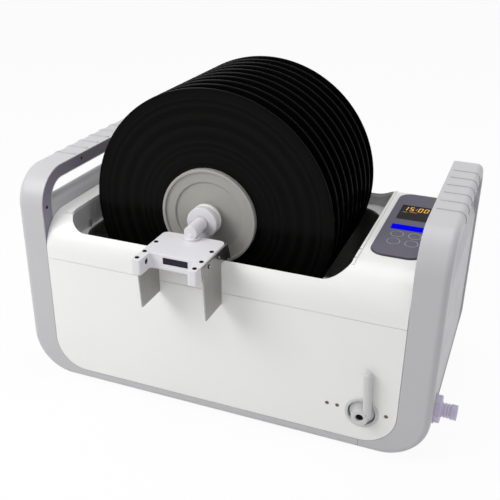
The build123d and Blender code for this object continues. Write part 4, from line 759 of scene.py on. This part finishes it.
@dataclass
class ControlPanel(SubAssembly):
    """The touch panel with its display."""

    digit_left: float = 176.0 * MM
    digit_low: float = 47.5 * MM
    digit_height: float = 12.5 * MM
    digit_width: float = 5.0 * MM
    digit_pitch: float = 7.2 * MM
    stroke: float = 1.15 * MM
    slant: float = 0.10
    glow_height: float = 0.06 * MM
    key_columns: tuple[float, float] = (182.0 * MM, 202.5 * MM)
    key_rows: tuple[float, float] = (-50.5 * MM, -29.0 * MM)
    key_radius: float = 7.6 * MM
    key_stretch: float = 1.14
    line_width: float = 0.7 * MM
    line_height: float = 0.08 * MM
    ring_steps: int = 48
    corner_gap: float = 0.6
    tens_shift: float = -2.4 * MM
    ones_shift: float = -2.0 * MM
    colon_lead: float = 1.2
    colon_gap: float = 2.8 * MM
    colon_shares: tuple[float, float] = (0.28, 0.64)
    mark_height: float = 1.5 * MM
    red_mark: tuple[float, float, float] = (183.0 * MM, 42.6 * MM, 9.5 * MM)
    green_mark: tuple[float, float, float] = (175.2 * MM, 41.2 * MM, 5.5 * MM)
    segments: dict[str, str] = field(default_factory=lambda: {
        "0": "abcdef", "1": "bc", "5": "acdfg"})

    def bar(self, work: Workpiece, low: tuple[float, float], high: tuple[float, float],
            level: float) -> None:
        """Add one lit bar that stands on the window, sheared with the digits."""
        corners = work.slab((*low, level - self.glow_height / 2),
                            (*high, level + self.glow_height))
        for corner in corners:
            corner.co.x += (corner.co.y - self.digit_low) * self.slant

    def digit(self, work: Workpiece, shape: str, left: float, level: float) -> None:
        """Add a digit's lit segments."""
        right = left + self.digit_width
        low = self.digit_low
        high = low + self.digit_height
        middle = (low + high) / 2
        half = self.stroke / 2
        gap = self.stroke * self.corner_gap
        places = {
            "a": ((left + gap, high - self.stroke), (right - gap, high)),
            "g": ((left + gap, middle - half), (right - gap, middle + half)),
            "d": ((left + gap, low), (right - gap, low + self.stroke)),
            "f": ((left, middle + half), (left + self.stroke, high - gap)),
            "b": ((right - self.stroke, middle + half), (right, high - gap)),
            "e": ((left, low + gap), (left + self.stroke, middle - half)),
            "c": ((right - self.stroke, low + gap), (right, middle - half)),
        }
        for name in self.segments[shape]:
            self.bar(work, *places[name], level)

    def build(self) -> None:
        """Make the display's lit time and its two marks."""
        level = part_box("display_lens")[1].z
        work = Workpiece()
        colon = self.digit_left + 2 * self.digit_pitch - self.stroke * self.colon_lead
        third = colon + self.colon_gap
        lefts = (self.digit_left + self.tens_shift,
                 self.digit_left + self.digit_pitch + self.ones_shift,
                 third, third + self.digit_pitch)
        for shape, left in zip("1500", lefts):
            self.digit(work, shape, left, level)
        for share in self.colon_shares:
            low = self.digit_low + share * self.digit_height
            self.bar(work, (colon, low), (colon + self.stroke, low + self.stroke), level)
        work.finish("lit_time", "casing", AMBER, "display_window")
        marks = ((RED_GLOW, "red_mark", self.red_mark),
                 (GREEN_GLOW, "green_mark", self.green_mark))
        for glow, name, (left, low, length) in marks:
            mark = Workpiece()
            self.bar(mark, (left, low), (left + length, low + self.mark_height), level)
            mark.finish(name, "casing", glow, "display_window")
        self.key_lines()

    def key_lines(self) -> None:
        """Print a pale oval round each key."""
        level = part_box("control_panel")[1].z
        lines = Workpiece()
        inner, outer, rise = self.key_radius - self.line_width, self.key_radius, self.line_height
        outline = [(inner, -rise), (outer, -rise), (outer, rise), (inner, rise)]
        for x in self.key_columns:
            for y in self.key_rows:
                ring = Workpiece()
                ring.turned(outline, (x, y, level), Direction.Z.vector, self.ring_steps)
                bmesh.ops.scale(ring.mesh, vec=(1.0, self.key_stretch, 1.0),
                                verts=ring.mesh.verts[:],
                                space=Matrix.Translation((-x, -y, 0.0)))
                lines.absorb(ring)
        lines.finish("key_lines", "casing", KEY_LINE, "slate_panel")

    def dress(self) -> None:
        """Give the panel's solids their finishes."""
        self.finish_nodes({
            SLATE_FOIL: ("control_panel",),
            PANEL_EDGE: ("control_panel_bezel",),
            BLUE_FOIL: ("label_bar",),
            DISPLAY_WINDOW: ("display_lens",),
        })


@dataclass
class DrainLine(SubAssembly):
    """The drain valve, its lever and the hose barb."""

    lever_screw: CrossScrew = CrossScrew(4.3 * MM, 1.8 * MM)
    lever_front_y: float = -156.0 * MM
    lever_steps: int = 72
    hub_radius: float = 10.0 * MM
    hub_depth: float = 12.0 * MM
    hub_edge: float = 0.9 * MM
    recess_radius: float = 4.4 * MM
    recess_depth: float = 4.0 * MM
    disc_radius: float = 14.5 * MM
    disc_thickness: float = 2.7 * MM
    arm_left: float = -0.6 * MM
    arm_right: float = 9.0 * MM
    arm_depth: float = 9.5 * MM
    arm_length: float = 58.6 * MM
    arm_lean: float = 3.8 * MM
    arm_edge: float = 3.9 * MM
    barb_start: float = 255.0 * MM
    barb_end: float = 282.5 * MM
    barb_y: float = -105.0 * MM
    barb_bore: float = 5.5 * MM
    barb_sleeve: float = 9.4 * MM
    barb_root: float = 7.3 * MM
    barb_crest: float = 8.75 * MM
    barb_tip: float = 7.3 * MM
    barb_edge: float = 0.25 * MM
    ridged_length: float = 17.5 * MM
    ridge_count: int = 3
    ridge_pitch: float = 3.4 * MM
    ridge_flat: float = 0.4 * MM
    ridge_rise: float = 0.5 * MM
    ridge_fall: float = 2.9 * MM

    def lever(self) -> None:
        """Make the lever: hub with a recess, rounded arm and the disc behind them."""
        work = Workpiece()
        x, z = VALVE_AXIS[0], VALVE_AXIS[2]
        back = self.hub_depth + self.disc_thickness
        hub = [(0.0, self.recess_depth), (self.recess_radius, self.recess_depth),
               (self.recess_radius, 0.0), (self.hub_radius, 0.0),
               (self.hub_radius, self.hub_depth), (self.disc_radius, self.hub_depth),
               (self.disc_radius, back), (0.0, back)]
        work.turned(hub, (x, self.lever_front_y, z), Direction.Y.vector, self.lever_steps)
        work.soften(self.hub_edge, 3)
        arm = Workpiece()
        corners = arm.slab((x + self.arm_left, self.lever_front_y, z),
                           (x + self.arm_right, self.lever_front_y + self.arm_depth,
                            z + self.arm_length))
        low = [corner for corner in corners if corner.co.z < z + self.arm_length / 2]
        bmesh.ops.translate(arm.mesh, verts=low, vec=(self.arm_lean, 0.0, 0.0))
        arm.soften(self.arm_edge, 6)
        work.absorb(arm)
        work.finish("lever_moulded", "drain_lever", LEVER_WHITE, "lever_grey", "valve_lever")

    def barb(self) -> None:
        """Make the ridged hose barb with its smooth sleeve below the nut."""
        work = Workpiece()
        end = self.barb_end - self.barb_start
        start = end - self.ridged_length
        crest = self.barb_crest
        outline = [(self.barb_bore, 0.0), (self.barb_sleeve, 0.0), (self.barb_sleeve, start)]
        for ridge in range(self.ridge_count):
            foot = start + ridge * self.ridge_pitch
            outline += [(crest - self.ridge_flat, foot), (crest, foot + self.ridge_rise),
                        (self.barb_root, foot + self.ridge_fall)]
        outline += [(crest, end - self.barb_tip), (crest, end), (self.barb_bore, end)]
        foot_at = (self.barb_start, self.barb_y, VALVE_AXIS[2])
        work.turned(outline, foot_at, Direction.X.vector, self.lever_steps)
        work.soften(self.barb_edge, 2, 40.0)
        work.finish("hose_barb_ridged", "casing", BARB_GREY, "barb_grey", "hose_barb")

    def build(self) -> None:
        """Make the lever, the barb and the lever's dark screw."""
        self.lever()
        self.barb()
        work = Workpiece()
        seat = (VALVE_AXIS[0], self.lever_front_y + self.recess_depth, VALVE_AXIS[2])
        self.lever_screw.drive_into(work, seat, -Direction.Y.vector)
        work.finish("lever_screw_head", "drain_lever", DARK_SCREW, "screw_steel", "lever_screw")

    def dress(self) -> None:
        """Give the drain line's solids their finishes."""
        self.finish_nodes({
            BRASS: ("drain_elbow", "valve_body"),
            BARB_GREY: ("outlet_pipe", "barb_nut"),
            LEVER_WHITE: ("valve_escutcheon",),
            SHAFT_STEEL: ("valve_ball",),
        })


@dataclass
class RearFittings(SubAssembly):
    """The fan, the mains inlet and the switch."""

    def dress(self) -> None:
        """Give the rear fittings their finish."""
        self.finish_nodes({
            BLACK_PLASTIC: ("fan_frame", "fan_rotor", "power_inlet", "switch_bezel",
                            "switch_rocker"),
        })


@dataclass
class DriveUnit(SubAssembly):
    """The housing on the well's edge, its hooks, screws and gearing."""

    lid_columns: tuple[float, float] = (-62.9 * MM, 4.9 * MM)
    lid_rows: tuple[float, ...] = (-201.5 * MM, -184.5 * MM, -158.0 * MM)
    lid_z: float = 229.0 * MM
    hook_columns: tuple[float, float] = (-69.0 * MM, 11.0 * MM)
    hook_rows: tuple[float, ...] = (-179.0 * MM, -153.5 * MM)
    hook_z: float = 222.3 * MM
    lid_screw: CrossScrew = CrossScrew(2.4 * MM, 0.9 * MM)
    bright_screw: CrossScrew = CrossScrew(1.5 * MM, 1.4 * MM)
    elbow_y: float = -135.5 * MM
    elbow_edge: float = 0.6 * MM
    elbow_steps: int = 72
    tube_front_y: float = -140.5 * MM
    tube_radius: float = 8.0 * MM
    tube_bore: float = 6.0 * MM
    tube_length: float = 29.1 * MM
    tube_front: float = 1.1 * MM
    foot_bore: float = 4.2 * MM
    foot_radius: float = 8.8 * MM
    foot_height: float = 3.0 * MM
    neck_radius: float = 5.8 * MM
    neck_height: float = 8.0 * MM

    def build(self) -> None:
        """Make the elbow and the screws, those of the hooks bright on dark washers."""
        bright = Workpiece()
        work = Workpiece()
        for x in self.lid_columns:
            for y in self.lid_rows:
                self.lid_screw.drive_into(work, (x, y, self.lid_z), Direction.Z.vector)
        for side, x in zip((-1, 1), self.hook_columns):
            for y in self.hook_rows:
                seat, out = (x, y, self.hook_z), Direction.X.vector * side
                self.lid_screw.drive_into(work, seat, out)
                self.bright_screw.drive_into(bright, seat, out)
        bright.finish("hook_screw_heads", "drive_unit", BRIGHT_SCREW, "screw_steel")
        work.finish("drive_screw_heads", "drive_unit", DARK_SCREW, "screw_steel",
                    "drive_screws")
        self.elbow()

    def elbow(self) -> None:
        """Make the elbow: a level tube with a closed front on a foot."""
        work = Workpiece()
        tube = [(0.0, 0.0), (self.tube_radius, 0.0), (self.tube_radius, self.tube_length),
                (self.tube_bore, self.tube_length), (self.tube_bore, self.tube_front),
                (0.0, self.tube_front)]
        work.turned(tube, (SPINDLE_AXIS[0], self.tube_front_y, SPINDLE_AXIS[2]),
                    Direction.Y.vector, self.elbow_steps)
        foot = Workpiece()
        outline = [(self.foot_bore, 0.0), (self.foot_radius, 0.0),
                   (self.foot_radius, self.foot_height), (self.neck_radius, self.foot_height),
                   (self.neck_radius, self.neck_height), (self.foot_bore, self.neck_height)]
        foot.turned(outline, (SPINDLE_AXIS[0], self.elbow_y, self.lid_z), Direction.Z.vector,
                    self.elbow_steps)
        work.absorb(foot)
        work.soften(self.elbow_edge, 3)
        work.finish("elbow_turned", "drive_unit", DRIVE_WHITE, "drive_white", "elbow_housing")

    def dress(self) -> None:
        """Give the drive unit's solids their finishes."""
        self.finish_nodes({
            DRIVE_WHITE: ("drive_housing", "drive_base"),
            HOOK_STEEL: ("left_hook_plate", "right_hook_plate"),
            DRIVE_WINDOW: ("drive_display",),
            BLACK_PLASTIC: ("dc_jack",),
            PLAIN_STEEL: ("gear_motor",),
            SHAFT_STEEL: ("drive_shaft", "motor_pinion"),
            BRASS: ("spindle_bushes",),
        })


@dataclass
class Spindle(SubAssembly):
    """The spindle with its clamp, flanges and records."""

    bore: float = 3.6 * MM
    hub_radius: float = 18.6 * MM
    hub_front_y: float = -110.0 * MM
    hub_length: float = 8.0 * MM
    hub_neck_radius: float = 16.2 * MM
    hub_neck_end: float = 10.0 * MM
    hub_edge: float = 0.7 * MM
    clamp_front_y: float = -100.0 * MM
    clamp_length: float = 5.4 * MM
    clamp_edge: float = 0.9 * MM
    hub_steps: int = 96
    flange_radius: float = 59.0 * MM
    flange_thickness: float = 7.0 * MM
    flange_edge: float = 0.55 * MM
    flange_steps: int = 128
    rim_width: float = 3.6 * MM
    boss_radius: float = 14.0 * MM
    boss_rise: float = 1.6 * MM
    dish_radius: float = 42.0 * MM
    dish_depth: float = 4.4 * MM
    band_start: float = 43.2 * MM
    band_depth: float = 2.4 * MM
    record_radius: float = 150.8 * MM
    record_bore: float = 3.62 * MM
    record_thickness: float = 1.9 * MM
    record_pitch: float = 21.16 * MM
    first_record: float = -85.0 * MM
    record_count: int = 10
    record_steps: int = 256
    label_radius: float = 50.0 * MM
    label_fall: float = 1.0 * MM
    groove_depth: float = 0.3 * MM
    bead_width: float = 3.0 * MM
    bead_slope: float = 0.8 * MM
    bead_shares: tuple[float, float, float] = (0.9, 0.7, 0.25)

    def along(self, y: float) -> Point:
        """A point on the spindle's axis."""
        return (SPINDLE_AXIS[0], y, SPINDLE_AXIS[2])

    def records(self) -> None:
        """Make the records: raised label, sunk grooves and a bead round the edge."""
        half = self.record_thickness / 2
        sunk = half - self.groove_depth
        radius, slope = self.record_radius, self.bead_slope
        bead = radius - self.bead_width
        inner, outer, edge = (half * share for share in self.bead_shares)
        side = [(self.record_bore, half), (self.label_radius, half),
                (self.label_radius + self.label_fall, sunk), (bead - slope, sunk),
                (bead, inner), (radius - slope, outer), (radius, edge)]
        disc = [(out, -height) for out, height in side] + side[::-1]
        work = Workpiece()
        for place in range(self.record_count):
            single = Workpiece()
            middle = self.along(self.first_record + place * self.record_pitch)
            single.turned(disc, middle, Direction.Y.vector, self.record_steps)
            work.absorb(single)
        work.finish("record_stack", "spindle", VINYL, "vinyl", "records")

    def flange(self) -> None:
        """Make the dished front flange with its rolled rim."""
        rim = self.flange_radius - self.rim_width
        outline = [(self.bore, -self.boss_rise), (self.boss_radius, -self.boss_rise),
                   (self.boss_radius, self.dish_depth), (self.dish_radius, self.dish_depth),
                   (self.band_start, self.band_depth), (rim, self.band_depth), (rim, 0.0),
                   (self.flange_radius, 0.0), (self.flange_radius, self.flange_thickness),
                   (self.bore, self.flange_thickness)]
        front_y = self.first_record - self.record_thickness / 2 - self.flange_thickness
        work = Workpiece()
        work.turned(outline, self.along(front_y), Direction.Y.vector, self.flange_steps)
        work.soften(self.flange_edge, 3, 25.0)
        work.finish("front_flange_dished", "spindle", FLANGE_GREY, "flange_grey",
                    "front_flange")

    def build(self) -> None:
        """Make the records, the front flange and the clamp."""
        self.records()
        self.flange()

        hub = Workpiece()
        outline = [(self.bore, 0.0), (self.hub_radius, 0.0), (self.hub_radius, self.hub_length),
                   (self.hub_neck_radius, self.hub_length),
                   (self.hub_neck_radius, self.hub_neck_end), (self.bore, self.hub_neck_end)]
        hub.turned(outline, self.along(self.hub_front_y), Direction.Y.vector, self.hub_steps)
        hub.soften(self.hub_edge, 3)
        hub.finish("lock_hub_turned", "spindle", DRIVE_WHITE, "drive_white", "lock_hub")

        ring = Workpiece()
        outline = [(self.bore, 0.0), (self.hub_radius, 0.0),
                   (self.hub_radius, self.clamp_length), (self.bore, self.clamp_length)]
        ring.turned(outline, self.along(self.clamp_front_y), Direction.Y.vector, self.hub_steps)
        ring.soften(self.clamp_edge, 3)
        ring.finish("clamp_ring_turned", "spindle", WHITE_SHELL, "white_shell", "clamp_ring")

    def dress(self) -> None:
        """Give the spindle's solids their finishes."""
        self.finish_nodes({
            SHAFT_STEEL: ("spindle_shaft",),
            FLANGE_GREY: ("rear_flange", "rear_nut"),
            SPACER_BLACK: ("record_spacers",),
        })


# ------------------------------------------------------------------ studio
@dataclass(frozen=True)
class Lamp:
    """A square lamp that looks at the machine's middle."""

    name: str
    at: Point
    size: float
    watts: float
    tint: Colour
    aim: Point = (0.0, 0.0, 0.18)

    def hang(self) -> None:
        """Add the lamp to the scene."""
        data = bpy.data.lights.new(self.name, "AREA")
        data.shape = "SQUARE"
        data.size = self.size
        data.energy = self.watts
        data.color = self.tint
        lamp = bpy.data.objects.new(self.name, data)
        lamp.location = self.at
        ahead = Vector(self.aim) - Vector(self.at)
        lamp.rotation_euler = ahead.to_track_quat("-Z", "Y").to_euler()
        bpy.context.scene.collection.objects.link(lamp)


LAMPS = (
    Lamp("key", (-0.80, -0.85, 1.05), 0.8, 11.5, (1.0, 1.0, 0.985)),
    Lamp("fill", (1.5, -0.2, 0.7), 1.0, 2.0, (0.90, 0.86, 1.0)),
    Lamp("top", (0.1, 0.3, 1.6), 1.2, 9.0, (1.0, 1.0, 1.0)),
)


@dataclass
class Studio:
    """Floor, light and camera."""

    focal_pixels: float = 756.8
    image_pixels: float = 500.0
    sensor: float = 36.0
    camera_at: Point = (0.30955, -0.83472, 0.58829)
    pitch: float = 25.67
    yaw: float = 21.01
    roll: float = 0.86
    floor_half: float = 15.0
    floor_colour: Colour = (0.86, 0.86, 0.86)
    floor_share: float = 0.94
    ambient: float = 0.40

    def world(self) -> None:
        """Light from all round, white where the camera sees it."""
        world = bpy.data.worlds.new("studio")
        bpy.context.scene.world = world
        world.use_nodes = True
        nodes = world.node_tree.nodes
        links = world.node_tree.links
        nodes.clear()
        seen = nodes.new("ShaderNodeLightPath")
        both = nodes.new("ShaderNodeMath")
        both.operation = "MAXIMUM"
        links.new(seen.outputs["Is Camera Ray"], both.inputs[0])
        links.new(seen.outputs["Is Glossy Ray"], both.inputs[1])
        every = nodes.new("ShaderNodeMath")
        every.operation = "MAXIMUM"
        links.new(both.outputs[0], every.inputs[0])
        links.new(seen.outputs["Is Transmission Ray"], every.inputs[1])
        light = nodes.new("ShaderNodeBackground")
        light.inputs["Strength"].default_value = self.ambient
        backdrop = nodes.new("ShaderNodeBackground")
        mix = nodes.new("ShaderNodeMixShader")
        out = nodes.new("ShaderNodeOutputWorld")
        for background in (light, backdrop):
            background.inputs["Color"].default_value = (1.0, 1.0, 1.0, 1.0)
        links.new(every.outputs[0], mix.inputs[0])
        links.new(light.outputs[0], mix.inputs[1])
        links.new(backdrop.outputs[0], mix.inputs[2])
        links.new(mix.outputs[0], out.inputs[0])

    def floor(self) -> None:
        """A plain white floor that keeps the machine's shadow."""
        mesh = bmesh.new()
        bmesh.ops.create_grid(mesh, x_segments=1, y_segments=1, size=self.floor_half)
        data = bpy.data.meshes.new("floor")
        mesh.to_mesh(data)
        mesh.free()
        plane = bpy.data.objects.new("floor", data)
        bpy.context.scene.collection.objects.link(plane)
        graph = Graph("studio_floor")
        paper = graph.surface(Base_Color=self.floor_colour, Roughness=0.9,
                              Specular_IOR_Level=0.1)
        path = graph.node("ShaderNodeLightPath", {}, {}, "Is Camera Ray")
        outs = path.socket.node.outputs
        seen = path.math("MAXIMUM", Signal(graph, outs["Is Glossy Ray"]))
        seen = seen.math("MAXIMUM", Signal(graph, outs["Is Transmission Ray"]))
        white = graph.node("ShaderNodeEmission", {},
                           {"Color": (1.0, 1.0, 1.0), "Strength": 1.0})
        end = graph.tree.nodes["Material Output"]
        paint = Signal(graph, graph.shader.outputs[0])
        mixed = graph.node("ShaderNodeMixShader", {},
                           {0: seen * self.floor_share, 1: paint, 2: white})
        graph.tree.links.new(mixed.socket, end.inputs["Surface"])
        data.materials.append(paper)

    def camera(self) -> None:
        """Stand the camera where the photograph was taken from."""
        pitch, yaw, roll = (math.radians(angle) for angle in (self.pitch, self.yaw, self.roll))
        ahead = Vector((-math.sin(yaw) * math.cos(pitch), math.cos(yaw) * math.cos(pitch),
                        -math.sin(pitch)))
        level = Vector((math.cos(yaw), math.sin(yaw), 0.0))
        upright = level.cross(ahead)
        right = level * math.cos(roll) + upright * math.sin(roll)
        up = upright * math.cos(roll) - level * math.sin(roll)
        data = bpy.data.cameras.new("camera")
        data.sensor_width = self.sensor
        data.lens = self.sensor * self.focal_pixels / self.image_pixels
        camera = bpy.data.objects.new("camera", data)
        placing = Matrix((right, up, -ahead)).transposed().to_4x4()
        placing.translation = Vector(self.camera_at)
        camera.matrix_world = placing
        bpy.context.scene.collection.objects.link(camera)
        bpy.context.scene.camera = camera

    def build(self) -> None:
        """Set the studio up."""
        bpy.context.scene.view_settings.view_transform = "Standard"
        self.world()
        self.floor()
        for lamp in LAMPS:
            lamp.hang()
        self.camera()


def main() -> None:
    """Build the machine's looks, group by group, and the studio round it."""
    logging.basicConfig(level=logging.INFO, format="%(message)s")
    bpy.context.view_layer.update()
    groups: list[SubAssembly] = [Casing(), Bath(), ControlPanel(), DrainLine(),
                                 RearFittings(), DriveUnit(), Spindle()]
    for group in groups:
        group.build()
        group.dress()
        log.info("%s is done", type(group).__name__)
    Studio().build()


if __name__ == "__main__":
    main()
